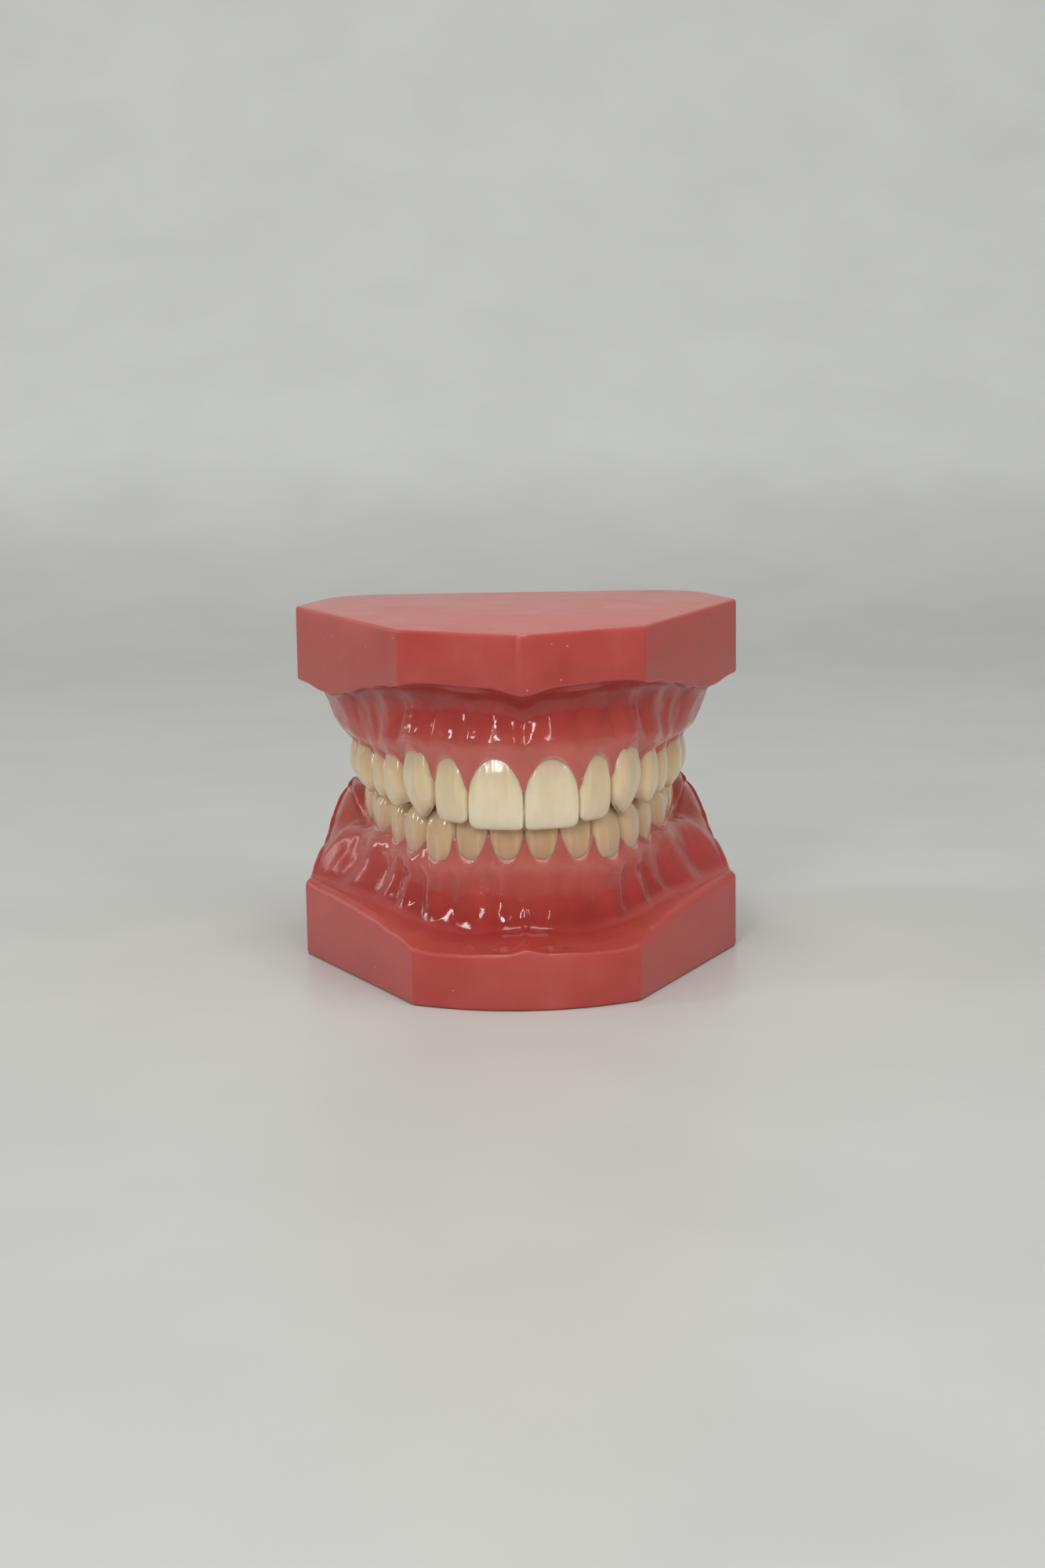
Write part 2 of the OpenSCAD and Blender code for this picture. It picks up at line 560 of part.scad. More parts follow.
module upper_right_lateral_incisor() { tooth(UPPER, 1, 1); }
module upper_right_canine() { tooth(UPPER, 2, 1); }
module upper_right_first_premolar() { tooth(UPPER, 3, 1); }
module upper_right_second_premolar() { tooth(UPPER, 4, 1); }
module upper_right_first_molar() { tooth(UPPER, 5, 1); }
module upper_right_second_molar() { tooth(UPPER, 6, 1); }

lower_base();
lower_gum();
upper_base();
upper_gum();
lower_left_central_incisor();
lower_left_lateral_incisor();
lower_left_canine();
lower_left_first_premolar();
lower_left_second_premolar();
lower_left_first_molar();
lower_left_second_molar();
lower_right_central_incisor();
lower_right_lateral_incisor();
lower_right_canine();
lower_right_first_premolar();
lower_right_second_premolar();
lower_right_first_molar();
lower_right_second_molar();
upper_left_central_incisor();
upper_left_lateral_incisor();
upper_left_canine();
upper_left_first_premolar();
upper_left_second_premolar();
upper_left_first_molar();
upper_left_second_molar();
upper_right_central_incisor();
upper_right_lateral_incisor();
upper_right_canine();
upper_right_first_premolar();
upper_right_second_premolar();
upper_right_first_molar();
upper_right_second_molar();
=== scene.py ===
# %% [markdown]
# # A dental study model, dressed in Blender
# The real object is a pair of pink acrylic casts that rest tooth on tooth, with 28 ivory
# teeth set in them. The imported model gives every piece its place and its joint. This lesson
# gives the same pieces their rounded shapes and their finishes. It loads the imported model
# first, and nothing in that model is moved.

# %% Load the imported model
import math
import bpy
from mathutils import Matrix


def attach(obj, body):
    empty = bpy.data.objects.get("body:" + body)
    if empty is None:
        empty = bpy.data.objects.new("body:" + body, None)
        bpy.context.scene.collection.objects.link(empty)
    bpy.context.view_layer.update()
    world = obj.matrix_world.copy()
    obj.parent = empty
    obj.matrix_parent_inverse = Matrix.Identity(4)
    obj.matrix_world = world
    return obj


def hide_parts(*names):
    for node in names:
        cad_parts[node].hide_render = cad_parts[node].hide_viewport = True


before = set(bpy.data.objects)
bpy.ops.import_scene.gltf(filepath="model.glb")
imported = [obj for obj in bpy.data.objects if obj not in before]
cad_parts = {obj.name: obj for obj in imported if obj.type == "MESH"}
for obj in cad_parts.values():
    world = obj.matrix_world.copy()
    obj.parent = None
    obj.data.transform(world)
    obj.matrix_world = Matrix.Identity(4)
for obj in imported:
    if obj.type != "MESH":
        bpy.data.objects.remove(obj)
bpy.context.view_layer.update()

from types import SimpleNamespace

import bmesh
import bpy
import numpy as np
from mathutils import Matrix, Vector, noise

MM = 0.001
LOWER, UPPER = JAWS = (0, 1)
JAW_NAMES = ("lower", "upper")

# %% [markdown]
# ## Camera
# The photograph looks at the front of the bite from a little above, a little to the left,
# and slightly rolled. The camera is built from three directions: where it looks, what is
# right in the picture, and what is up. Writing them out keeps the roll exact.

# %% Camera at the photograph's angle
CAMERA_PLACE = Vector((-7.70, -430.19, 104.26)) * MM
CAMERA_TURN, CAMERA_PITCH, CAMERA_ROLL = (math.radians(a) for a in (1.07, 9.75, 0.85))
CAMERA_LENS_MM, CAMERA_CLIP = 60.07, 10 * MM

ahead = Vector((
    math.sin(CAMERA_TURN) * math.cos(CAMERA_PITCH),
    math.cos(CAMERA_TURN) * math.cos(CAMERA_PITCH),
    -math.sin(CAMERA_PITCH),
))
level_right = Vector((math.cos(CAMERA_TURN), -math.sin(CAMERA_TURN), 0))
level_up = level_right.cross(ahead)
picture_right = level_right * math.cos(CAMERA_ROLL) - level_up * math.sin(CAMERA_ROLL)
picture_up = level_right * math.sin(CAMERA_ROLL) + level_up * math.cos(CAMERA_ROLL)

bpy.ops.object.select_all(action="DESELECT")
bpy.ops.object.camera_add()
camera = bpy.context.object
camera.name = "camera"
camera.data.lens = CAMERA_LENS_MM
camera.data.clip_start = CAMERA_CLIP
turned = Matrix((picture_right, picture_up, -ahead)).transposed()
camera.matrix_world = Matrix.Translation(CAMERA_PLACE) @ turned.to_4x4()
bpy.context.scene.camera = camera
print("camera at", [round(c / MM, 1) for c in camera.location], "mm")

# %% [markdown]
# ## Base outlines
# Each cast is trimmed on a grinding wheel to seven straight cuts with eased corners. The
# outline is worked out from the corner points and a radius for each, in millimetres, with
# more steps round each arc than the construction has, so that curves look smooth.

# %% Outline of each base
ARC_STEPS = 14
LONGEST_SHARE = 0.85  # of a side, for the arc at one of its ends
CORNER_RADIUS, HEEL_RADIUS = 1.2, 11.0
BACK_REACH, BACK_HALF_WIDTH = 33.6, 31.5
FRONT_REACH = (37.4, 33.9)
FRONT_CORNER = ((18.0, -28.5), (19.4, -23.9))
SIDE_CORNER = ((36.9, 8.5), (37.7, 15.3))
FRONT_RADIUS = (33.0, 3.0)


def eased(before, corner, after, radius):
    """Points of the arc that rounds one corner."""
    before, corner, after = (np.array(p, float) for p in (before, corner, after))
    u, v = before - corner, after - corner
    shortest = min(np.linalg.norm(u), np.linalg.norm(v))
    u, v = u / np.linalg.norm(u), v / np.linalg.norm(v)
    half = math.acos(float(u @ v)) / 2
    r = min(radius, LONGEST_SHARE * shortest * math.tan(half))
    middle = (u + v) / np.linalg.norm(u + v)
    centre = corner + middle * r / math.sin(half)
    start = corner + u * r / math.tan(half) - centre
    first, sweep = math.atan2(start[1], start[0]), math.pi - 2 * half
    angles = [first + sweep * k / ARC_STEPS for k in range(ARC_STEPS + 1)]
    return [centre + r * np.array((math.cos(a), math.sin(a))) for a in angles]


def outline(jaw):
    """Closed outline of a base, starting at the front."""
    ring = [(0, -FRONT_REACH[jaw]), FRONT_CORNER[jaw], SIDE_CORNER[jaw],
            (BACK_HALF_WIDTH, BACK_REACH)]
    ring += [(-x, y) for x, y in ring[:0:-1]]
    radii = [FRONT_RADIUS[jaw], CORNER_RADIUS, CORNER_RADIUS, HEEL_RADIUS]
    radii += radii[:0:-1]
    points = []
    for k, corner in enumerate(ring):
        points += eased(ring[k - 1], corner, ring[(k + 1) % len(ring)], radii[k])
    return np.array(points)


OUTLINES = [outline(jaw) for jaw in JAWS]
print("outline points:", [len(o) for o in OUTLINES])

# %% [markdown]
# ## Dental arch
# The teeth stand on a curve between a half ellipse and a rectangle. Each tooth takes up a
# chord of that curve as long as the tooth is wide, so the contact points follow from the
# widths. The gum is measured along the same curve: station 0 is the midline, station 7 is
# behind the last tooth.

# %% Arch curve and contact points
TOTAL_HEIGHT, BITE_HEIGHT, BASE_THICKNESS = 59.2, 28.5, 6.0
JAW_HEIGHT = (BITE_HEIGHT, TOTAL_HEIGHT - BITE_HEIGHT)
ARCH_WIDTH, ARCH_START = (19.7, 21.5), (23.7, 26.4)
ARCH_LENGTH, ARCH_FULLNESS, ARCH_SPREAD = 71.0, 2.73, 0.077
WIDTHS = ((5.4, 6.0, 6.9, 7.1, 7.2, 11.0, 10.4), (8.8, 6.9, 7.9, 7.3, 6.9, 10.4, 9.8))
TEETH, HALVINGS, QUARTER_TURN = 7, 30, 90.0


def arch(jaw, t):
    """Point of the arch at t degrees from the front."""
    t = math.radians(t)
    back = ARCH_LENGTH * (1 - math.cos(t) ** (2 / ARCH_FULLNESS))
    side = ARCH_WIDTH[jaw] * math.sin(t) ** (2 / ARCH_FULLNESS) + ARCH_SPREAD * back
    return np.array((side, back - ARCH_START[jaw]))


def chord_end(jaw, start, length):
    """Angle at which a chord from the angle start has this length."""
    low, high, origin = start, QUARTER_TURN, arch(jaw, start)
    for _ in range(HALVINGS):
        mid = (low + high) / 2
        near = np.linalg.norm(arch(jaw, mid) - origin) < length
        low, high = (mid, high) if near else (low, mid)
    return (low + high) / 2


def contact_angles(jaw):
    """Angles of the contact points, one chord after another."""
    found = [0.0]
    for width in WIDTHS[jaw]:
        found.append(chord_end(jaw, found[-1], width))
    return found


CONTACTS = [contact_angles(jaw) for jaw in JAWS]
ARCH_END = [arch(jaw, CONTACTS[jaw][TEETH]) for jaw in JAWS]
print("arch ends at", [np.round(p, 1).tolist() for p in ARCH_END], "mm")

# %% [markdown]
# ## Finishes
# Three materials cover the model, all of them acrylic resin. The bases are ground flat and
# left satin. The gums come out of a polished mould, so they shine. The teeth are a harder,
# paler, slightly cloudy acrylic. One function turns a written colour to the linear value
# that the shader wants, and one adds a node. The short ones after it name what repeats.

# %% Colour and node helpers
def linear(hex_colour):
    """Linear colour of an sRGB hex value."""
    parts = [int(hex_colour[k:k + 2], 16) / 255 for k in (1, 3, 5)]
    return [c / 12.92 if c <= 0.04045 else ((c + 0.055) / 1.055) ** 2.4 for c in parts] + [1]


def add(tree, kind, inputs=None, output=None, **settings):
    """Adds a node, links or sets its inputs, and returns an output, the first if not named."""
    made = tree.nodes.new("ShaderNode" + kind)
    for name, value in settings.items():
        setattr(made, name, value)
    for name, value in (inputs or {}).items():
        if isinstance(value, bpy.types.NodeSocket):
            tree.links.new(value, made.inputs[name])
        else:
            made.inputs[name].default_value = value
    return made.outputs[output] if output else next(s for s in made.outputs if s.enabled)


def per_metre(size_mm):
    """Texture scale for a pattern that repeats about every so many millimetres."""
    return 1 / (size_mm * MM)


def grain(tree, place, size_mm, detail, roughness=0.5):
    """Noise with lumps of about this size."""
    return add(tree, "TexNoise", {"Vector": place, "Scale": per_metre(size_mm),
                                  "Detail": detail, "Roughness": roughness})


def attribute(tree, name):
    """Value that the mesh carries under this name."""
    return add(tree, "Attribute", output="Fac", attribute_name=name)


def ramp(tree, source, stops):
    """Colour ramp with stops given as position and hex colour."""
    made = add(tree, "ValToRGB", {"Fac": source})
    elements = made.node.color_ramp.elements
    while len(elements) < len(stops):
        elements.new(0.5)
    for element, (position, colour) in zip(elements, stops):
        element.position, element.color = position, linear(colour)
    return made


def mix(tree, a, b, factor, blend_type="MIX"):
    """Mix of two colours."""
    return add(tree, "Mix", data_type="RGBA", blend_type=blend_type,
               inputs={"A": a, "B": b, "Factor": factor})


def bump(tree, height, strength, distance_mm, **normal):
    """Normal of a surface that a pattern raises by up to this distance."""
    return add(tree, "Bump", {"Height": height, "Strength": strength,
                              "Distance": distance_mm * MM, **normal})


def new_material(name, colour, **shader):
    """Material with one principled shader, its constant values set on the sockets."""
    made = bpy.data.materials.new(name)
    made.use_nodes = True
    made.diffuse_color = linear(colour)
    tree = made.node_tree
    principled = tree.nodes["Principled BSDF"]
    for socket, value in shader.items():
        principled.inputs[socket.replace("_", " ")].default_value = value
    return made, tree, principled, add(tree, "TexCoord", output="Object")


def feed(tree, shader, **sources):
    """Links outputs to the shader's sockets."""
    for socket, source in sources.items():
        tree.links.new(source, shader.inputs[socket.replace("_", " ")])


print("white is", linear("#FFFFFF"))

# %% [markdown]
# ### Ground pink acrylic
# Base faces are cut on a wheel and only rubbed smooth. That leaves a satin surface with
# faint cloudy colour, fine scratches and a few pale pits. Clouds are about 9 mm across, the
# grit is drawn at 0.35 mm, coarser than the real scratches so that it shows. The top face
# is painted paler than the sides, in mottled patches, as a painted reflection of the light
# from above, so the colour changes with the height.

# %% Ground pink acrylic
TOP_FACE_FROM, TOP_FACE_FULL = TOTAL_HEIGHT - 0.25, TOTAL_HEIGHT - 0.05
ground, tree, shader, place = new_material(
    "ground_pink_acrylic", "#B74C45", Roughness=0.34, IOR=1.49, Subsurface_Weight=0.12,
    Subsurface_Radius=(0.0022, 0.0008, 0.0006), Subsurface_Scale=1.0)
clouds = grain(tree, place, 9, 3.0, 0.55)
pink = ramp(tree, clouds, [(0.3, "#AD3E37"), (0.55, "#B4463F"), (0.75, "#B9504A")])
pits = add(tree, "TexVoronoi", {"Vector": place, "Scale": per_metre(3.4)})
pit_spots = ramp(tree, pits, [(0.0, "#FFFFFF"), (0.035, "#FFFFFF"), (0.05, "#000000")])
speckled = mix(tree, pink, linear("#D89A90"), pit_spots)
height = add(tree, "SeparateXYZ", {"Vector": place}, output="Z")
on_top = add(tree, "MapRange", {"Value": height, "From Min": TOP_FACE_FROM * MM,
                                "From Max": TOP_FACE_FULL * MM})
# Painted reflection: the top face of the upper base is mixed toward a paler pink in mottled
# patches.
top_face_painted_sheen = add(tree, "MapRange", {"Value": grain(tree, place, 14, 5.0, 0.65), "From Min": -0.6,
                              "From Max": 0.95, "To Max": on_top})
satin = add(tree, "MapRange", {"Value": clouds, "From Min": 0.3, "From Max": 0.7,
                               "To Min": 0.28, "To Max": 0.4})
feed(tree, shader, Base_Color=mix(tree, speckled, linear("#B96E68"), top_face_painted_sheen), Roughness=satin,
     Normal=bump(tree, grain(tree, place, 0.35, 2.0), 0.12, 0.05))
print("made", ground.name)

# %% [markdown]
# ### Polished pink acrylic
# The gum surface is cast against a polished mould and buffed. It is a deeper red, paler
# where it thins out toward a tooth, and painted darker toward the fold under the rim and on
# the land, a painted shade for the band that the rim overhangs. Its small waves break up
# every reflection. The waves are about 2.5 mm across. Two attributes of the mesh steer the
# finish: from_margin gives the colour, painted shade included, and the fine beads beside a
# tooth, and rubbed says where the shine is rubbed off.

# %% Polished pink acrylic
polished, tree, shader, place = new_material(
    "polished_pink_acrylic", "#A8342D", Roughness=0.1, IOR=1.49, Subsurface_Weight=0.3,
    Subsurface_Radius=(0.002, 0.0007, 0.0005), Subsurface_Scale=1.0)
from_margin, rubbed = attribute(tree, "from_margin"), attribute(tree, "rubbed")
# Painted shade: the darkest stops, at 0.8 and 1.0, stand for the shade in the fold under the rim
# and on the land.
gum_red_painted_fold_shade = ramp(tree, from_margin, [(0.0, "#E4A494"), (0.05, "#C97064"), (0.22, "#BF554B"),
                                     (0.45, "#B6433B"), (0.8, "#A2302A"), (1.0, "#9F3832")])
mottle = grain(tree, place, 5, 4.0, 0.6)
mottle_tint = ramp(tree, mottle, [(0.3, "#D8C8C8"), (0.7, "#FFFFFF")])
mottled = mix(tree, gum_red_painted_fold_shade, mottle_tint, 0.5, "MULTIPLY")
wavy = bump(tree, grain(tree, place, 2.5, 2.0), 0.35, 0.35)
at_margin = add(tree, "MapRange", {"Value": from_margin, "From Max": 0.12,
                                   "To Min": 0.7, "To Max": 0.0})
beaded = bump(tree, grain(tree, place, 0.7, 2.0), at_margin, 0.25, Normal=wavy)
sheen = add(tree, "MapRange", {"Value": mottle, "From Min": 0.3, "From Max": 0.7,
                               "To Min": 0.06, "To Max": 0.14})
dulled = add(tree, "MapRange", {"Value": rubbed, "To Min": sheen, "To Max": 0.42})
feed(tree, shader, Base_Color=mix(tree, mottled, linear("#B54B44"), rubbed), Roughness=dulled,
     Normal=beaded)
print("made", polished.name)

# %% [markdown]
# ### Ivory acrylic
# The teeth are cast in layers: a warm, opaque neck and a paler, slightly clear edge. The
# colour follows three attributes: up_crown runs from the gum margin to the biting edge,
# set_back from the front teeth to the molars, to_side from the middle of a tooth to its
# neighbours. Fine upright streaks and a glossy skin give the glints of the photograph.

# %% Ivory acrylic
def ivory_acrylic(name, layer_stops, back_stops):
    """Tooth acrylic: colours from the gum to the biting edge, then from front to back."""
    made, tree, shader, place = new_material(
        name, layer_stops[2][1], Roughness=0.12, IOR=1.5, Subsurface_Weight=1.0,
        Subsurface_Radius=(0.0022, 0.0017, 0.0012), Subsurface_Scale=1.0,
        Coat_Weight=0.3, Coat_Roughness=0.04)
    layers = ramp(tree, attribute(tree, "up_crown"), layer_stops)
    upright = add(tree, "Mapping", {"Vector": place, "Scale": (1, 1, 0.4)})
    streaks = grain(tree, upright, 1.6, 3.0, 0.55)
    streak_tint = ramp(tree, streaks, [(0.3, "#F4EEE4"), (0.7, "#FFFFFF")])
    tint = mix(tree, layers, streak_tint, 0.6, "MULTIPLY")
    back_tint = ramp(tree, attribute(tree, "set_back"), back_stops)
    tinted_front_to_back = mix(tree, tint, back_tint, 1.0, "MULTIPLY")
    # Paler toward the neighbouring teeth: partly the clearer acrylic at the sides, partly painted
    # light that lifts the shade between the teeth.
    clear_side_painted_light = add(tree, "MapRange", {"Value": attribute(tree, "to_side"),
                                        "From Min": 0.85, "To Max": 0.35})
    rolling = bump(tree, grain(tree, upright, 2.4, 2.0), 0.5, 0.3)
    feed(tree, shader, Base_Color=mix(tree, tinted_front_to_back, linear("#F6E6CC"), clear_side_painted_light),
         Normal=bump(tree, streaks, 0.3, 0.12, Normal=rolling))
    return made


UPPER_LAYERS = [(0.0, "#DCB8A0"), (0.08, "#DFC8AC"), (0.35, "#E6D7B8"), (0.8, "#E9DDC2"),
                (1.0, "#E2D8C2")]
# Painted shade: the lower teeth get a darker, more orange copy of the same acrylic, standing for
# the shade under the upper teeth and the pink light bounced off the gum.
LOWER_LAYERS_PAINTED_SHADE = [(0.0, "#C98F77"), (0.1, "#CDA385"), (0.35, "#D0AF8C"), (0.8, "#D8BD98"),
                (1.0, "#DACBAE")]
UPPER_BACK = [(0.0, "#FFFFFF"), (0.17, "#F8F2EC"), (0.67, "#F3E9DA"), (1.0, "#F0E2CE")]
# Painted shade: the lower front teeth are a little darker, where the upper incisors shade them.
LOWER_BACK_PAINTED_SHADE = [(0.0, "#FAF4EE"), (0.33, "#FFFFFF"), (1.0, "#FFFFFF")]
IVORY = (ivory_acrylic("ivory_acrylic_lower_painted_shade", LOWER_LAYERS_PAINTED_SHADE, LOWER_BACK_PAINTED_SHADE),
         ivory_acrylic("ivory_acrylic_upper", UPPER_LAYERS, UPPER_BACK))
print("made", [m.name for m in IVORY])

# %% [markdown]
# ## Ground bases
# Each base is a flat slab with the ground outline. A circle with as many points as the
# outline is added, its points are put on the outline, and it is extruded to the slab's
# thickness. Only the edge of the ground face is bevelled: the other edge runs straight into
# the gum's own side wall.

# %% Base slabs
EASED_EDGE, BEVEL_STEPS = 0.6, 3
SMOOTH_ANGLE = math.radians(32)
TOUCH = 0.001 * MM


def finish_piece(piece, name, body, nodes):
    """Names a piece, puts it on its body and hides the nodes that it stands for."""
    piece.name = piece.data.name = name
    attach(piece, body)
    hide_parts(*nodes)
    return piece


def select_edges(piece, wanted):
    """Selects the edges that a test picks, in edit mode."""
    bpy.ops.mesh.select_mode(type="EDGE")
    bpy.ops.mesh.select_all(action="DESELECT")
    mesh = bmesh.from_edit_mesh(piece.data)
    for edge in mesh.edges:
        edge.select = wanted(edge)
    bmesh.update_edit_mesh(piece.data)


def ground_base(jaw):
    """Slab of one base with an eased edge round its ground face."""
    face = 0.0 if jaw == LOWER else TOTAL_HEIGHT * MM
    away = BASE_THICKNESS * MM * (1 if jaw == LOWER else -1)
    ring = OUTLINES[jaw] * MM
    bpy.ops.object.select_all(action="DESELECT")
    bpy.ops.mesh.primitive_circle_add(vertices=len(ring), radius=MM, fill_type="NGON")
    piece = bpy.context.object
    for vertex, (x, y) in zip(piece.data.vertices, ring):
        vertex.co = (x, y, face)
    bpy.ops.object.mode_set(mode="EDIT")
    bpy.ops.mesh.select_mode(type="EDGE")
    bpy.ops.mesh.select_all(action="SELECT")
    bpy.ops.mesh.extrude_region_move(TRANSFORM_OT_translate={"value": (0, 0, away)})
    bpy.ops.mesh.select_all(action="SELECT")
    bpy.ops.mesh.normals_make_consistent(inside=False)
    select_edges(piece, lambda edge: all(abs(v.co.z - face) < TOUCH for v in edge.verts))
    bpy.ops.mesh.bevel(offset=EASED_EDGE * MM, segments=BEVEL_STEPS, affect="EDGES")
    bpy.ops.object.mode_set(mode="OBJECT")
    bpy.ops.object.shade_smooth_by_angle(angle=SMOOTH_ANGLE)
    piece.data.materials.append(ground)
    name = JAW_NAMES[jaw]
    return finish_piece(
        piece, name + "_ground_base", name + "_jaw", [name + "_base"])


for jaw in JAWS:
    piece = ground_base(jaw)
    print(piece.name, len(piece.data.polygons), "faces")

# %% [markdown]
# ## Gums
# A gum is a loft: at each station along the arch there is a section, from the ground side
# wall over the rim, the land, the root ridges and the margin to the middle of the mouth.
# Pushing faces by hand can't keep such a shape even, so the sections are worked out. The
# gum follows the teeth, so the measures of the teeth come first, lower jaw then upper jaw,
# with one value for each tooth from the front to the back.

# %% Measures of the teeth
DEPTHS = ((6, 6.2, 7.6, 7.8, 8.2, 10.2, 10), (7, 6.4, 8.2, 9, 9, 10.8, 10.6))
CROWNS = ((7.55, 7.85, 8.95, 7.55, 7.55, 6.55, 6.25), (11.6, 10.7, 11.2, 9, 7.8, 8, 7.1))
# How far a crown reaches past the plane of the bite
REACHES = ((1.25, 1.25, 1.45, 0.55, 0.75, 0.55, 0.45), (1, 0.3, 0.5, 0, -0.3, -0.2, -0.2))
# How far a tooth stands out from the arch, and its lean in degrees
SETS = ((0, 0, 0.3, -0.3, -0.3, 0, 0), (0, 0, 0.5, -0.4, -0.3, 0, 0))
LEANS = ((4, 3, 1, -1, -2, -3, -3), (7, 6, 3, 1, 1, 2, 3))
# Height of the contact points as a share of the crown, and the neck as shares of the depth
CONTACT_SHARES = (0.6, 0.6, 0.58, 0.62, 0.62, 0.62, 0.62)
NECK_CHEEK, NECK_TONGUE = (0.26, 0.26, 0.29, 0.43, 0.43, 0.43, 0.43), 0.48
MARGINS = [[JAW_HEIGHT[j] + REACHES[j][i] - CROWNS[j][i] for i in range(TEETH)] for j in JAWS]
print("gum margins:", [np.round(m, 1).tolist() for m in MARGINS], "mm")

# %% [markdown]
# ### Lines along the gum
# Each measure of the gum is a line along the arch, given at a few knots and eased between
# them. That keeps neighbouring sections alike. Heights count from the ground face of a cast,
# so both jaws are worked out the same way up.

# %% Measures of the gum
KNOTS = (0, 0.5, 1.5, 2.5, 3.5, 4.5, 5.5, 6.5, 7.35, 8)
PAD_HEIGHT, HEEL_CHEEK, HEEL_TONGUE = 27.0, (6.2, 5.0), (4.6, 5.0)
HEEL_RIDGE = ((PAD_HEIGHT - 0.6, PAD_HEIGHT), (MARGINS[UPPER][6] - 0.5, MARGINS[UPPER][6] - 4))
# Foot of the gum wall, rim of the land with its rounding, and how hollow the land is
FOOT_HEIGHTS = ((11.4, 11.2, 10.4, 11, 11.8, 12.4, 12.8, 13.2, 13, 12.8),
                (10.4, 9.6, 9.2, 9.8, 10.8, 12.4, 14, 14.2, 13.4, 12.4))
RIM_HEIGHTS = ((9.3, 8.6, 8.3, 9.7, 10.6, 11.1, 11.5, 12.4, 12.6, 12.6),
               (9.2, 8.2, 7.9, 9, 10.3, 12, 13.1, 12.2, 11.6, 11))
RIM_EASES = ((0.5, 0.5, 0.6, 0.9, 1.2, 1.3, 1.3, 1, 0.8, 0.8), (0.5,) * 10)
LAND_BOWS = ((1.9, 1.9, 1.9, 1.5, 1.1, 0.9, 0.9, 1, 1, 1), (1,) * 10)
# How far the wall stands out at its foot, and how much of that is domed and not hollow
FLARES = ((2.2, 2.5, 2.7, 3, 3.6, 4.8, 7.2, 10.4, 5.8, 4.4),
          (2.2, 2.2, 2.2, 2.6, 3, 3.6, 4.6, 5, 5.4, 6))
SWELLS = ((0, 0, 0, 0, 0, 0.05, 0.25, 0.68, 0.64, 0.62),
          (0, 0, 0, 0, 0.1, 0.3, 0.5, 0.6, 0.5, 0.4))
WALL_POWERS = (2.8, 2.8, 2.8, 2.7, 2.5, 2.3, 2, 2, 2, 2)
HOLLOWS = ((0.6, 0.6, 0.6, 0.5, 0.4, 0.3, 0.1, 0, 0, 0),
           (1.7, 1.7, 1.6, 1.3, 0.8, 0.4, 0.1, 0, 0, 0))
ROOT_RIDGES = ((0.15, 0.18, 0.3, 0.75, 0.8, 0.5, 0.3, 0.15, 0, 0),
               (0.5, 0.6, 0.7, 0.8, 0.5, 0.3, 0.2, 0.15, 0, 0))
# Points of gum between the teeth, and the floor of the tongue space and the palate
PAPILLA_SHARES = ((0.9, 0.9, 0.9, 0.7, 0.5, 0.4, 0.35, 0.3, 0, 0),
                  (1.1, 1.1, 1, 0.7, 0.5, 0.45, 0.4, 0.3, 0, 0))
FLOORS = ((16, 16, 15.4, 14.6, 14, 13.6, 13.2, 13, 13, 13),
          (18, 18, 16.8, 15.4, 14, 13, 12.4, 12, 12, 12))
# Worn shine: on the land, and on the wall
RUBBED = ((0.1, 0.1, 0.25, 0.6, 0.9, 0.9, 0.8, 0.5, 0.4, 0.4), (0.45,) * 10)
DULLED = ((0, 0, 0, 0, 0.1, 0.25, 0.4, 0.45, 0.45, 0.45),
          (0, 0, 0, 0.1, 0.3, 0.45, 0.5, 0.5, 0.5, 0.5))


def blend(values, s):
    """Value at station s, eased between the knots."""
    k = max(n for n in range(len(KNOTS) - 1) if s >= KNOTS[n])
    q = (s - KNOTS[k]) / (KNOTS[k + 1] - KNOTS[k])
    return values[k] + (values[k + 1] - values[k]) * q * q * (3 - 2 * q)


def along_arch(per_tooth, ends):
    """Values at the knots: the first tooth's value again at the midline, then the ends."""
    return [per_tooth[0], *per_tooth, *ends]


def lean_shift(jaw, i):
    """How far the lean of a tooth moves its neck inward."""
    return math.sin(math.radians(LEANS[jaw][i])) * CROWNS[jaw][i] * CONTACT_SHARES[i]


MARGIN_LINES = [along_arch(MARGINS[j], HEEL_RIDGE[j]) for j in JAWS]
CHEEK_LINES = [along_arch(
    [DEPTHS[j][i] * NECK_CHEEK[i] - lean_shift(j, i) + SETS[j][i] for i in range(TEETH)],
    [HEEL_CHEEK[j]] * 2) for j in JAWS]
TONGUE_LINES = [along_arch(
    [DEPTHS[j][i] * NECK_TONGUE + lean_shift(j, i) - SETS[j][i] for i in range(TEETH)],
    [HEEL_TONGUE[j]] * 2) for j in JAWS]
print("lower margin at the knots:", np.round(MARGIN_LINES[LOWER], 1).tolist(), "mm")

# %% [markdown]
# ### Stations
# A section stands square to the arch. There are even steps along every tooth, and one more
# station wherever the outline of the base has a point, so that the gum's side wall meets
# the edge of the base slab point for point.

# %% Places along the arch
HEEL_OVERRUN, HEEL_SPREAD, SLOPE_STEP = 3.0, 0.6, 0.4
LAST_STATION = [TEETH + (BACK_REACH - end[1]) / (BACK_REACH + HEEL_OVERRUN - end[1])
                for end in ARCH_END]


def spot_angle(jaw, s):
    """Angle at which the chord from the contact before s has its share of the tooth."""
    i = min(int(s), TEETH - 1)
    return chord_end(jaw, CONTACTS[jaw][i], WIDTHS[jaw][i] * (s - i))


def spot(jaw, s):
    """Point of the arch at station s, carried straight back past station 7."""
    if s <= TEETH:
        return arch(jaw, spot_angle(jaw, s))
    run = BACK_REACH + HEEL_OVERRUN - ARCH_END[jaw][1]
    return ARCH_END[jaw] + (s - TEETH) * np.array((HEEL_SPREAD, run))


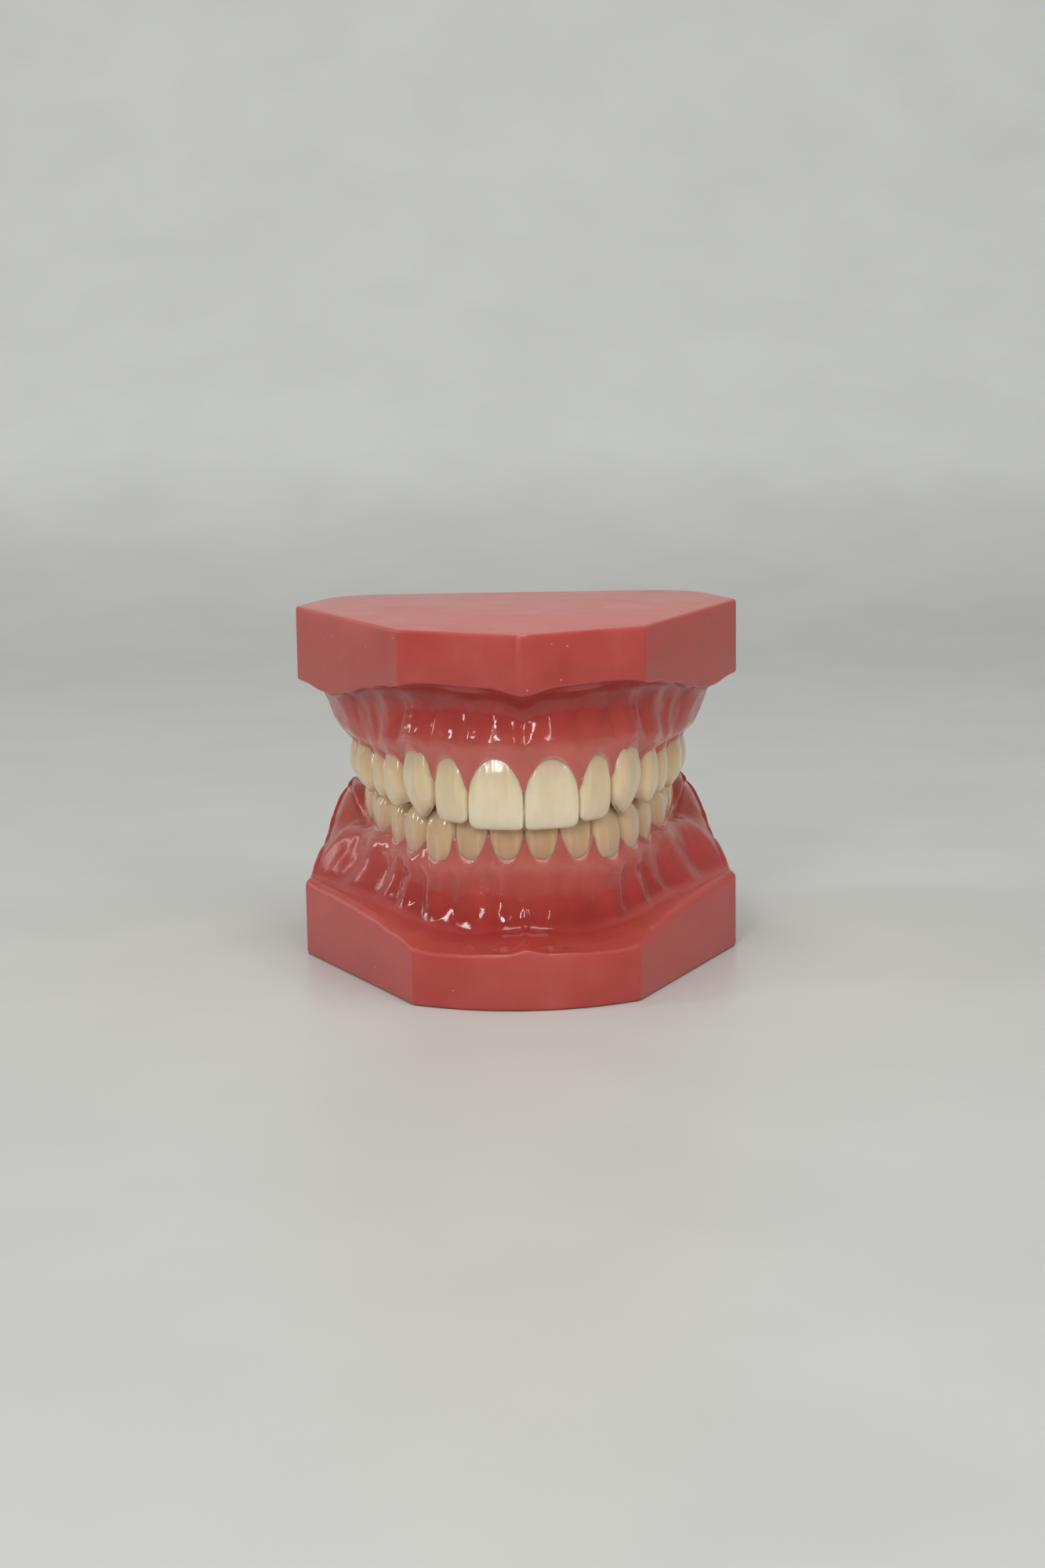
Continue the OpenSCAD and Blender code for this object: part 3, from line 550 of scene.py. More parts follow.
def outward(jaw, s):
    """Direction away from the mouth at station s."""
    if s == 0:
        return np.array((0.0, -1.0))
    if s >= TEETH:
        return np.array((1.0, 0.0))
    t = spot_angle(jaw, s)
    d = arch(jaw, min(t + SLOPE_STEP, QUARTER_TURN)) - arch(jaw, max(t - SLOPE_STEP, 0))
    d = d / np.linalg.norm(d)
    heel = max(0.0, s - TEETH + 1)
    out = np.array((d[1], -d[0])) * (1 - heel) + np.array((1.0, 0.0)) * heel
    return out / np.linalg.norm(out)


print("last stations:", np.round(LAST_STATION, 2).tolist())

# %% Stations along the arch
TOOTH_STEPS, HEEL_STEPS, SEARCH_STEPS = 20, 26, 1200
SEARCH_START, SEARCH_END, STATION_GAP = 0.002, 1e-5, 2e-4
FARTHEST_INSIDE = 12.0
PARALLEL, END_SLACK = 1e-9, 1e-6


def reach_to_outline(jaw, origin, out):
    """Distance from a point to the outline along a direction, the last one met."""
    a, b = OUTLINES[jaw], np.roll(OUTLINES[jaw], -1, axis=0)
    edge, to_start = b - a, a - origin
    cross = out[0] * edge[:, 1] - out[1] * edge[:, 0]
    cross = np.where(np.abs(cross) < PARALLEL, PARALLEL, cross)
    along = (to_start[:, 0] * edge[:, 1] - to_start[:, 1] * edge[:, 0]) / cross
    share = (to_start[:, 0] * out[1] - to_start[:, 1] * out[0]) / cross
    return float(along[(share >= -END_SLACK) & (share <= 1 + END_SLACK)].max())


def stations(jaw):
    """Stations from the midline to the back face, with one at each outline point."""
    last = LAST_STATION[jaw]
    found = [k / TOOTH_STEPS for k in range(TOOTH_STEPS * TEETH)]
    found += list(np.linspace(TEETH, last, HEEL_STEPS))
    fine = np.linspace(SEARCH_START, last - SEARCH_END, SEARCH_STEPS)
    places = np.array([spot(jaw, s) for s in fine])
    ways = np.array([outward(jaw, s) for s in fine])
    for point in OUTLINES[jaw][OUTLINES[jaw][:, 0] > 0]:
        gap = point - places
        side = gap[:, 0] * ways[:, 1] - gap[:, 1] * ways[:, 0]
        for k in np.nonzero(np.sign(side[:-1]) != np.sign(side[1:]))[0]:
            if gap[k] @ ways[k] > -FARTHEST_INSIDE:
                share = side[k] / (side[k] - side[k + 1])
                found.append(fine[k] + (fine[k + 1] - fine[k]) * share)
    found = sorted(found)
    return [s for n, s in enumerate(found) if n == 0 or s - found[n - 1] > STATION_GAP]


STATIONS = [stations(jaw) for jaw in JAWS]
print("stations on each side:", [len(s) for s in STATIONS])

# %% [markdown]
# ### Forms of the gum
# On the real cast the roots show as soft ridges in the wall, a point of gum fills the gap
# between two teeth, and a small fold, the frenum, runs down the midline. Each of them is
# one short function of the place along the arch and of the height on the wall. A noise
# function adds the lumps that hand finishing leaves.

# %% Forms of the gum wall
POINT_EASE, POINT_SHARPNESS = 0.1, 2.4
ROOT_WIDTH, ROOT_START, ROOT_LENGTH, ROOT_END = 0.94, 0.15, 0.45, 0.98
ROOT_ROUNDNESS, ROOT_SINK = 3, 0.4
HOLLOW_PLACES = (0.8, 1.7)
FRENUM_HEIGHTS, FRENUM_WIDTHS, FRENUM_FADE = (0.5, 1.1), (0.1, 0.22), 8
SPINE_INSET, SPINE_CROWDING = 22.0, 1.5


def step_up(value, low, high):
    """0 below low, 1 above high, and an eased step between them."""
    q = min(1.0, max(0.0, (value - low) / (high - low)))
    return q * q * (3 - 2 * q)


def valley(s):
    """1 between two teeth, 0 at the middle of a tooth, with slightly eased points."""
    if s > TEETH - 0.5:
        return 0.0
    near = 1 - abs(2 * (s - int(s)) - 1)
    near = (math.hypot(near, POINT_EASE) - POINT_EASE) / (math.hypot(1, POINT_EASE) - POINT_EASE)
    return (1 - near) ** POINT_SHARPNESS


def root_form(s, u):
    """Height of a root under the gum, 1 along its middle, 0 outside its rounded end."""
    if s > TEETH:
        return 0.0
    across = abs(2 * (s - int(s)) - 1) / ROOT_WIDTH
    down = max(0.0, (u - ROOT_LENGTH) / (ROOT_END - ROOT_LENGTH))
    return max(0.0, 1 - math.hypot(across, down) ** ROOT_ROUNDNESS) * min(1.0, u / ROOT_START)


def wall_reach(jaw, s, u):
    """How far the gum wall stands out, with u 0 at the margin and 1 at the foot."""
    swell, power = blend(SWELLS[jaw], s), blend(WALL_POWERS, s)
    coved = 1 - (1 - u ** power) ** (1 / power)
    domed = math.sqrt(1 - (1 - u) ** 2)
    reach = blend(FLARES[jaw], s) * (coved * (1 - swell) + domed * swell)
    reach -= blend(HOLLOWS[jaw], s) * math.sin(math.pi * u ** HOLLOW_PLACES[jaw])
    root = root_form(s, u) - ROOT_SINK * math.sin(math.pi * u)
    reach += blend(ROOT_RIDGES[jaw], s) * root * (1 - swell)
    return reach + frenum(jaw, s) * u ** 2 * (1 - u ** FRENUM_FADE)


def frenum(jaw, s):
    """Height of the small fold at the midline."""
    return FRENUM_HEIGHTS[jaw] * math.exp(-(s / FRENUM_WIDTHS[jaw]) ** 2)


def between(p0, p1, p2, p3, q):
    """Point at the share q from p1 to p2 on a smooth curve through four points."""
    return 0.5 * (2 * p1 + (p2 - p0) * q + (2 * p0 - 5 * p1 + 4 * p2 - p3) * q * q
                  + (3 * p1 - p0 - 3 * p2 + p3) * q ** 3)


def curve_through(points, steps):
    """Smooth curve through points, with so many steps from each to the next."""
    padded = [np.array(p, float) for p in (points[0], *points, points[-1])]
    return [between(*padded[k:k + 4], n / steps)
            for k in range(len(points) - 1) for n in range(steps)] + [padded[-1]]


def spine_y(jaw, s):
    """Place of the middle line of the floor that belongs to station s."""
    start = SPINE_INSET - ARCH_START[jaw]
    return start + (BACK_REACH - start) * (s / LAST_STATION[jaw]) ** SPINE_CROWDING


def unevenness(place, h, lumps):
    """Small lumps of a hand finished surface: how high, how wide and how tall, in mm."""
    high, wide, tall = lumps
    return high * noise.noise(Vector((place[0] / wide, place[1] / wide, h / tall)))


print("wall beside a lower molar:", round(wall_reach(LOWER, 5.5, 0.5), 2), "mm out")

# %% [markdown]
# ### Sections
# A section is a list of points, each with its distance out from the arch, its height, its
# tone from the margin down and how rubbed it is. It starts at the rim, crosses the land,
# climbs the wall, rolls over the margin and drops to the middle of the mouth. The parts are
# separate functions, so that each can be changed without the others.

# %% Measures of one section
PAPILLA_HEIGHT, PAPILLA_INSET = 5.0, 0.5
MARGIN_ROLL, ROLL_DEPTH, TONGUE_EASE = 0.3, 1.1, 0.1
HEEL_BLEND, HEEL_TONE = (TEETH - 0.4, TEETH + 0.05), 0.35


def measures(jaw, s):
    """Measures of the section at station s."""
    at = SimpleNamespace(jaw=jaw, s=s, origin=spot(jaw, s), out=outward(jaw, s))
    papilla, top = valley(s), blend(MARGIN_LINES[jaw], s)
    at.tip = top + PAPILLA_HEIGHT * blend(PAPILLA_SHARES[jaw], s) * papilla
    at.shoulder, at.root_top = at.tip - ROLL_DEPTH, top - ROLL_DEPTH
    full_cheek, at.full_tongue = blend(CHEEK_LINES[jaw], s), blend(TONGUE_LINES[jaw], s)
    at.inset = PAPILLA_INSET * full_cheek * papilla
    at.cheek, at.wall = full_cheek - at.inset, full_cheek + MARGIN_ROLL
    at.tongue = at.full_tongue * (1 - PAPILLA_INSET * papilla) + TONGUE_EASE
    at.foot, at.low = blend(FOOT_HEIGHTS[jaw], s), blend(FLOORS[jaw], s)
    at.rub, at.dull = blend(RUBBED[jaw], s), blend(DULLED[jaw], s)
    at.ease, at.bow = blend(RIM_EASES[jaw], s), blend(LAND_BOWS[jaw], s)
    at.rim_top = blend(RIM_HEIGHTS[jaw], s) + at.ease
    at.rim = reach_to_outline(jaw, at.origin, at.out)
    at.inside_rim = at.rim - at.ease
    at.heel = step_up(s, *HEEL_BLEND)
    at.crest_tone = HEEL_TONE * at.heel
    return at


def flat(at, d, h, tone, rubbed=0.0):
    """Point of a section at the distance d out from the arch."""
    p = at.origin + d * at.out
    return (p[0], p[1], h, tone, rubbed)


print("rim at the midline:", [round(measures(jaw, 0).rim, 1) for jaw in JAWS], "mm out")

# %% Rim and land
RIM_ARC, LAND_STEPS, LAND_LUMPS = (0, 30, 60), 8, (0.1, 4.0, 4.0)
FRENUM_ON_LAND = 0.5


def rim_points(at, top):
    """Rounded rim between the side wall and the land."""
    points = []
    for a in RIM_ARC:
        c, s = math.cos(math.radians(a)), math.sin(math.radians(a))
        points.append(flat(at, at.rim - at.ease * (1 - c), top - at.ease * (1 - s),
                           1.0, max(at.rub, c * (1 - at.heel))))
    return points


def land_points(at):
    """Land from the rim in to the foot of the wall."""
    points, start = [], at.wall + wall_reach(at.jaw, at.s, 1.0)
    for q in range(LAND_STEPS):
        share = 1 - q / LAND_STEPS
        d = start + max(at.inside_rim - start, 0) * share
        h = at.foot + (at.rim_top - at.foot) * share ** at.bow
        fold = frenum(at.jaw, at.s) * FRENUM_ON_LAND * (1 - share)
        h += fold + unevenness(at.origin + d * at.out, h, LAND_LUMPS)
        points.append((d, h, 1.0, at.rub))
    return points


print("land points:", len(land_points(measures(LOWER, 0))))

# %% Wall and margin
WALL_STEPS, ROLL_STEPS, WALL_LUMPS = 26, 4, (0.26, 2.3, 3.2)
# Tones near 1 get the darkest gum colours, which are painted shade.
MARGIN_TONE, WALL_TONE, DULLED_BY, RUBBED_FROM = 0.1, 0.8, 0.3, (0.8, 0.5)
ROLL_GAP, CREST_INSET, CREST_RISES = 0.03, 0.35, (0.25, 0.3, 0.1)


def wall_points(at):
    """Wall from its foot up to the shoulder of the margin."""
    points = []
    for q in range(WALL_STEPS):
        climb = (1 - math.cos(math.pi * q / WALL_STEPS)) / 2
        h = at.foot + (at.shoulder - at.foot) * climb
        above = h - at.root_top
        u = max(0.0, -above / (at.root_top - at.foot))
        d = at.wall + wall_reach(at.jaw, at.s, u)
        if above > 0:
            d -= at.inset * above / (at.shoulder - at.root_top)
        d += unevenness(at.origin + d * at.out, h, WALL_LUMPS) * math.sin(math.pi * u)
        h += frenum(at.jaw, at.s) * FRENUM_ON_LAND * u ** FRENUM_FADE
        dulled = at.dull * step_up(u, 0.0, DULLED_BY)
        rubbed = at.rub * step_up(u, RUBBED_FROM[at.jaw], 1.0)
        points.append((d, h, MARGIN_TONE + WALL_TONE * u, max(dulled, rubbed)))
    return points


def margin_points(at):
    """Rolled margin, then the crest, which runs on inside the tooth."""
    points, rubbed = [], at.heel * at.dull
    for q in range(ROLL_STEPS + 1):
        b = math.radians(90 * q / ROLL_STEPS)
        points.append((at.cheek + ROLL_GAP + MARGIN_ROLL * math.cos(b),
                       at.shoulder + ROLL_DEPTH * math.sin(b),
                       max(at.crest_tone, MARGIN_TONE * (1 - q / ROLL_STEPS)), rubbed))
    places = (at.cheek - CREST_INSET, 0.0, -at.tongue / 2)
    return points + [(d, at.tip + rise, at.crest_tone, rubbed)
                     for d, rise in zip(places, CREST_RISES)]


print("wall points:", len(wall_points(measures(LOWER, 0))))

# %% Tongue side and whole section
TONGUE_STEPS, INNER_SHARES, FLOOR_RISE = 4, (0.52, 0.26, 0.0), (1.8, 4.8)
TONGUE_EDGE, TONGUE_SHOULDER, TONGUE_BULGE = 0.3, 0.6, 1.6
TONGUE_TONES, FLOOR_RUBBED = (0.2, 0.5, 0.7), 0.2


def tongue_points(at):
    """Curve from the margin on the tongue side to the middle of the mouth."""
    beside, down, floor = TONGUE_TONES
    inner = [flat(at, -at.tongue, at.tip - TONGUE_EDGE, at.crest_tone),
             flat(at, -at.tongue - MARGIN_ROLL, at.shoulder - TONGUE_SHOULDER,
                  max(at.crest_tone, beside)),
             flat(at, -at.full_tongue - TONGUE_BULGE, (at.root_top + at.low) / 2, down)]
    for share in INNER_SHARES:
        y = share * at.origin[1] + (1 - share) * spine_y(at.jaw, at.s)
        h = at.low + FLOOR_RISE[at.jaw] * share * share
        inner.append((share * at.origin[0], y, h, floor, FLOOR_RUBBED))
    return curve_through(inner, TONGUE_STEPS)


def section(jaw, s):
    """Points of one section: x, y, height, distance from the margin and how rubbed."""
    at = measures(jaw, s)
    outer = land_points(at) + wall_points(at) + margin_points(at)
    points = [flat(at, *p) for p in outer] + tongue_points(at)
    away = [(np.array(p[:2]) - at.origin) @ at.out for p in points]
    heights = [p[2] for p in points]
    cut = float(np.interp(at.inside_rim, away[::-1], heights[::-1]))
    points = [flat(at, at.inside_rim, cut, *p[3:]) if d > at.inside_rim else p
              for d, p in zip(away, points)]
    return [flat(at, at.rim, BASE_THICKNESS, 1.0, 1.0)] + rim_points(at, cut) + points


SECTIONS = [[section(jaw, s) for s in STATIONS[jaw]] for jaw in JAWS]
print("points in a section:", len(SECTIONS[LOWER][0]))

# %% [markdown]
# ### Gum castings
# A grid is added with one row for each station, and its points are put on the sections,
# first of the right half and then of the left. The strip beside the base keeps the ground
# finish. Last, the seam face and the flat back are filled, so that the casting is closed.

# %% Gum castings
WELD_DISTANCE, BACK_SLACK = 0.002, 0.01


def close_gum(piece, seam):
    """Fills the seam face and the flat back of a gum, in edit mode."""
    def on_seam(vertex):
        return abs(vertex.co.z - seam) < TOUCH

    def is_open(edge):
        return len(edge.link_faces) < 2

    bpy.ops.mesh.select_all(action="DESELECT")
    mesh = bmesh.from_edit_mesh(piece.data)
    corners = [v for v in mesh.verts if on_seam(v) and v.co.y > (BACK_REACH - BACK_SLACK) * MM]
    for vertex in (min(corners, key=lambda v: v.co.x), max(corners, key=lambda v: v.co.x)):
        vertex.select = True
    bmesh.update_edit_mesh(piece.data)
    bpy.ops.mesh.edge_face_add()
    select_edges(piece, lambda edge: is_open(edge) and all(on_seam(v) for v in edge.verts))
    bpy.ops.mesh.edge_face_add()
    select_edges(piece, is_open)
    bpy.ops.mesh.edge_face_add()


def point_values(piece, names):
    """Adds a value for each point under each name, and returns the lists of values."""
    for name in names:
        piece.data.attributes.new(name, "FLOAT", "POINT")
    return [piece.data.attributes[name].data for name in names]


def gum_casting(jaw):
    """Grid bent onto the sections, then closed along the seam and the back."""
    half = SECTIONS[jaw]
    rows = [[(-p[0], *p[1:]) for p in sec] for sec in half[:0:-1]] + half
    last_row, last_column = len(rows) - 1, len(rows[0]) - 1
    bpy.ops.object.select_all(action="DESELECT")
    bpy.ops.mesh.primitive_grid_add(x_subdivisions=last_column, y_subdivisions=last_row, size=2)
    piece = bpy.context.object
    tones, rubs = point_values(piece, ("from_margin", "rubbed"))
    for n, vertex in enumerate(piece.data.vertices):
        k = round((vertex.co.x + 1) / 2 * last_column)
        r = round((vertex.co.y + 1) / 2 * last_row)
        x, y, h, tones[n].value, rubs[n].value = rows[r][k]
        vertex.co = Vector((x, y, h if jaw == LOWER else TOTAL_HEIGHT - h)) * MM
    piece.data.materials.append(ground)
    piece.data.materials.append(polished)
    for face in piece.data.polygons:
        face.material_index = 0 if face.index % last_column == 0 else 1
    bpy.ops.object.mode_set(mode="EDIT")
    bpy.ops.mesh.select_mode(type="VERT")
    bpy.ops.mesh.select_all(action="SELECT")
    bpy.ops.mesh.remove_doubles(threshold=WELD_DISTANCE * MM)
    close_gum(piece, (BASE_THICKNESS if jaw == LOWER else TOTAL_HEIGHT - BASE_THICKNESS) * MM)
    bpy.ops.mesh.select_all(action="SELECT")
    bpy.ops.mesh.normals_make_consistent(inside=False)
    bpy.ops.object.mode_set(mode="OBJECT")
    bpy.ops.object.shade_smooth_by_angle(angle=SMOOTH_ANGLE)
    name = JAW_NAMES[jaw]
    return finish_piece(piece, name + "_gum_casting", name + "_jaw", [name + "_gum"])


for jaw in JAWS:
    piece = gum_casting(jaw)
    print(piece.name, len(piece.data.polygons), "faces")

# %% [markdown]
# ## Teeth
# A crown is pressed out of a ball: a sphere has rings and two poles, and each ring is put on
# one level of the tooth, from the root end up over the biting edge. The rings are rounded
# rectangles. What makes a tooth is then bent in: the edge of an incisor drops at its
# corners, a canine comes to a point, and back teeth get cusps with grooves between them.
# The left tooth is shaped, and the right one is its mirror image. Three attributes are
# written on the mesh for the ivory material.

# %% Levels of a crown
INCISOR, CANINE, PREMOLAR, MOLAR = range(4)
KINDS = (INCISOR, INCISOR, CANINE, PREMOLAR, PREMOLAR, MOLAR, MOLAR)
TOOTH_NAMES = ("central_incisor", "lateral_incisor", "canine", "first_premolar",
               "second_premolar", "first_molar", "second_molar")
# Each row: height, half widths toward the midline and away from it, cheek side, tongue side.
FRONT_ROWS = ((-0.62, 0.42, 0.42, 0.12, 0.28), (-0.3, 0.6, 0.6, 0.2, 0.42),
              (0, 0.77, 0.75, 0.26, 0.48), (0.22, 0.9, 0.87, 0.29, 0.43),
              (0.42, 0.97, 0.95, 0.285, 0.3), (0.6, 1, 0.99, 0.25, 0.17),
              (0.78, 1, 1, 0.2, 0.11), (0.9, 1, 0.995, 0.15, 0.08),
              (0.97, 0.99, 0.975, 0.1, 0.06), (1, 0.96, 0.94, 0.04, 0.03))
CANINE_ROWS = ((-0.62, 0.42, 0.42, 0.14, 0.28), (-0.3, 0.62, 0.62, 0.23, 0.42),
               (0, 0.78, 0.77, 0.29, 0.48), (0.24, 0.92, 0.9, 0.32, 0.44),
               (0.44, 0.99, 0.97, 0.32, 0.31), (0.6, 1, 1, 0.29, 0.2),
               (0.78, 0.97, 0.98, 0.235, 0.13), (0.9, 0.88, 0.9, 0.165, 0.09),
               (0.97, 0.78, 0.8, 0.1, 0.06), (1, 0.68, 0.7, 0.04, 0.03))
BACK_ROWS = ((-0.7, 0.5, 0.5, 0.3, 0.3), (-0.35, 0.66, 0.66, 0.38, 0.4),
             (0, 0.8, 0.8, 0.43, 0.48), (0.3, 0.93, 0.93, 0.47, 0.53),
             (0.62, 1, 1, 0.46, 0.51), (0.78, 0.98, 0.98, 0.43, 0.47),
             (0.9, 0.9, 0.9, 0.385, 0.41), (0.97, 0.8, 0.8, 0.34, 0.355),
             (1, 0.7, 0.7, 0.29, 0.3), (0.96, 0.58, 0.58, 0.22, 0.235),
             (0.9, 0.44, 0.44, 0.15, 0.165), (0.85, 0.28, 0.28, 0.085, 0.1),
             (0.82, 0.12, 0.12, 0.035, 0.045))
ROWS = (FRONT_ROWS, CANINE_ROWS, BACK_ROWS, BACK_ROWS)
print("rows for an incisor, a canine and a back tooth:", [len(r) for r in ROWS[:3]])

# %% Shape of a front tooth
CONTACT_GAP, LIP_SQUARENESS, TONGUE_SQUARENESS = 0.04, 3.6, 2.5
# Drop of the biting edge at the corner toward the midline and the one away from it, as a
# share of the crown, and how suddenly it drops. Two teeth differ from their kind.
EDGE_DROPS = {INCISOR: ((0.03, 12), (0.07, 8)), CANINE: ((0.17, 1.4), (0.22, 1.5))}
OWN_DROPS = {(UPPER, 1): ((0.07, 6), (0.13, 4.5)), (LOWER, 2): ((0.08, 1.6), (0.12, 1.6))}
DROP_FROM = 0.35
# Widening toward the lips, which closes the joints round the curve of the arch
LIP_FAN = 0.09
# Raised upright lines on the lip side: height in mm, then place and width as shares of the
# half width, and the levels between which they rise and fade.
LINE_ANGLES = {INCISOR: (0.2, 0.62, 0.15), CANINE: (0.18, 0.5, 0.22)}
LINES_RISE, LINES_FADE = (0.0, 0.2), (0.5, 0.9)


def edge_drop(jaw, i, share):
    """How far the edge is lowered at a share of the half width, positive to the midline."""
    drops = OWN_DROPS.get((jaw, i), EDGE_DROPS[KINDS[i]])
    drop, power = drops[0] if share > 0 else drops[1]
    return drop * abs(share) ** power


def crown_point(jaw, i, row, angle):
    """Point on a crown: row holds its level's sizes, angle turns from the midline side."""
    kind, tall = KINDS[i], CROWNS[jaw][i]
    level, toward, away, lip, tongue = row
    c, s = math.cos(angle), math.sin(angle)
    half = (WIDTHS[jaw][i] - CONTACT_GAP) / 2 * (toward if c > 0 else away)
    deep = DEPTHS[jaw][i] * (lip if s > 0 else tongue)
    squareness = LIP_SQUARENESS if s > 0 else TONGUE_SQUARENESS
    rounded = max(0.0, 1 - abs(c) ** squareness) ** (1 / squareness)
    x, y, z = half * c, math.copysign(deep * rounded, s), tall * level
    if kind in (INCISOR, CANINE):
        z -= tall * edge_drop(jaw, i, c) * step_up(level, DROP_FROM, 1.0)
        if s > 0:
            high, at, wide = LINE_ANGLES[kind]
            raised = step_up(level, *LINES_RISE) * (1 - step_up(level, *LINES_FADE))
            y += high * math.exp(-((abs(c) - at) / wide) ** 2) * raised
            x += LIP_FAN * y * c
    return x, y, z


print("corner drop of an incisor:", round(edge_drop(UPPER, 0, -1) * CROWNS[UPPER][0], 2), "mm")

# %% Shape of a back tooth and whole crown
RINGS, SEGMENTS = 44, 56
# Number of cusps round the tooth and their height as a share of the crown
CUSPS = {PREMOLAR: (2, 0.07), MOLAR: (4, 0.06)}
CUSPS_FROM, TABLE_ROW, TABLE_FADE = 0.5, 8, 4.2
GROOVE_WIDTH, GROOVE_DEPTH = 0.9, 0.07


def back_tooth_bend(jaw, i, point, angle, climb):
    """Cusps and grooves of a back tooth; climb is 0 below the cusps and 1 on their tips."""
    x, y, z = point
    cusps, high = CUSPS[KINDS[i]]
    z += high * CROWNS[jaw][i] * (-1 - math.cos(cusps * angle)) * climb
    if KINDS[i] == MOLAR:
        y *= 1 - GROOVE_DEPTH * math.exp(-(x / GROOVE_WIDTH) ** 2) * climb
    return x, y, z


def crown_surface(jaw, i, v, angle):
    """Point and share of the crown's height for a place on the ball, v from 0 to 1."""
    rows = np.array(ROWS[KINDS[i]])
    last = len(rows) - 1
    q = (v * RINGS - 1) / (RINGS - 2) * last
    q = min(max(q, 0.0), float(last))
    k = min(int(q), last - 1)
    row = between(*(rows[min(max(k + d, 0), last)] for d in (-1, 0, 1, 2)), q - k)
    if v <= 0 or v >= 1:
        row = row * np.array((1, 0, 0, 0, 0))
    point = crown_point(jaw, i, row, angle)
    if KINDS[i] in CUSPS:
        inward = max(0.0, 1 - (q - TABLE_ROW) / TABLE_FADE)
        climb = step_up(row[0], CUSPS_FROM, 1.0) if q <= TABLE_ROW else inward
        point = back_tooth_bend(jaw, i, point, angle, climb)
    return point, row[0]


print("middle of a lower molar:", round(crown_surface(LOWER, 5, 1, 0.0)[0][2], 2), "mm up")

# %% Set the teeth
def set_in_arch(jaw, i, point):
    """Moves a point of a crown to its place in the left half of its jaw, in millimetres."""
    a, b = arch(jaw, CONTACTS[jaw][i]), arch(jaw, CONTACTS[jaw][i + 1])
    forward = (a - b) / np.linalg.norm(a - b)
    outside = np.array((-forward[1], forward[0]))
    contact = CROWNS[jaw][i] * CONTACT_SHARES[i]
    lean = math.radians(LEANS[jaw][i])
    x, y, z = point[0], point[1] + SETS[jaw][i], point[2] - contact
    y, z = y * math.cos(lean) + z * math.sin(lean), z * math.cos(lean) - y * math.sin(lean)
    place = (a + b) / 2 + x * forward + y * outside
    height = MARGINS[jaw][i] + contact + z
    return place[0], place[1], height if jaw == LOWER else TOTAL_HEIGHT - height


def tooth(jaw, i, side):
    """One crown with its root, side 1 for the left and -1 for the right."""
    bpy.ops.object.select_all(action="DESELECT")
    bpy.ops.mesh.primitive_uv_sphere_add(segments=SEGMENTS, ring_count=RINGS, radius=1)
    piece = bpy.context.object
    levels, set_back, to_side = point_values(piece, ("up_crown", "set_back", "to_side"))
    for n, vertex in enumerate(piece.data.vertices):
        v = math.acos(max(-1.0, min(1.0, -vertex.co.z))) / math.pi
        angle = math.atan2(vertex.co.y, vertex.co.x)
        point, level = crown_surface(jaw, i, round(v * RINGS) / RINGS, angle)
        x, y, z = set_in_arch(jaw, i, point)
        vertex.co = Vector((side * x, y, z)) * MM
        levels[n].value = max(0.0, level)
        set_back[n].value = i / (TEETH - 1)
        to_side[n].value = abs(math.cos(angle))
    bpy.ops.object.mode_set(mode="EDIT")
    bpy.ops.mesh.select_all(action="SELECT")
    bpy.ops.mesh.normals_make_consistent(inside=False)
    bpy.ops.object.mode_set(mode="OBJECT")
    bpy.ops.object.shade_smooth()
    piece.data.materials.append(IVORY[jaw])
    node = "_".join((JAW_NAMES[jaw], "left" if side > 0 else "right", TOOTH_NAMES[i]))
    return finish_piece(piece, node + "_crown", JAW_NAMES[jaw] + "_jaw", [node])


crowns = [tooth(jaw, i, side) for jaw in JAWS for i in range(TEETH) for side in (1, -1)]
print(len(crowns), "teeth with", sum(len(c.data.polygons) for c in crowns), "faces")

# %% [markdown]
# ## Floor and backdrop
# The photograph has a pale grey table that runs into a grey-green wall with no visible
# corner. A plane is added, its far edge is extruded upward, and the corner is bevelled into
# a sweep. The paper changes a little with the height, so the wall is paler than the table.

# %% Table paper
PAPER_HEIGHT = 0.5
sweep_paper, tree, shader, place = new_material("pale_table", "#C4C4C0", Roughness=0.35, IOR=1.45)
height = add(tree, "SeparateXYZ", {"Vector": place}, output="Z")
rise = add(tree, "MapRange", {"Value": height, "From Max": PAPER_HEIGHT})
paper = ramp(tree, rise, [(0.0, "#C4C4C0"), (0.12, "#E4E5E0"), (0.5, "#E6E7E2"), (1.0, "#DCDED8")])
dust_tint = ramp(tree, grain(tree, place, 40, 2.0), [(0.35, "#F4F4F4"), (0.65, "#FFFFFF")])
feed(tree, shader, Base_Color=mix(tree, paper, dust_tint, 0.5, "MULTIPLY"))
print("made", sweep_paper.name)

# %% Table sweep
SWEEP_HALF, SWEEP_BACK, SWEEP_TOP = 1.2, 0.9, 1.3
SWEEP_RADIUS, SWEEP_STEPS = 0.5, 16
bpy.ops.object.select_all(action="DESELECT")
bpy.ops.mesh.primitive_plane_add(size=2)
sweep = bpy.context.object
for vertex in sweep.data.vertices:
    vertex.co = (vertex.co.x * SWEEP_HALF, SWEEP_BACK if vertex.co.y > 0 else -SWEEP_HALF, 0)
bpy.ops.object.mode_set(mode="EDIT")
select_edges(sweep, lambda edge: all(v.co.y > 0 for v in edge.verts))
bpy.ops.mesh.extrude_region_move(TRANSFORM_OT_translate={"value": (0, 0, SWEEP_TOP)})
select_edges(sweep, lambda edge: len(edge.link_faces) == 2)
bpy.ops.mesh.bevel(offset=SWEEP_RADIUS, segments=SWEEP_STEPS, affect="EDGES")
bpy.ops.object.mode_set(mode="OBJECT")
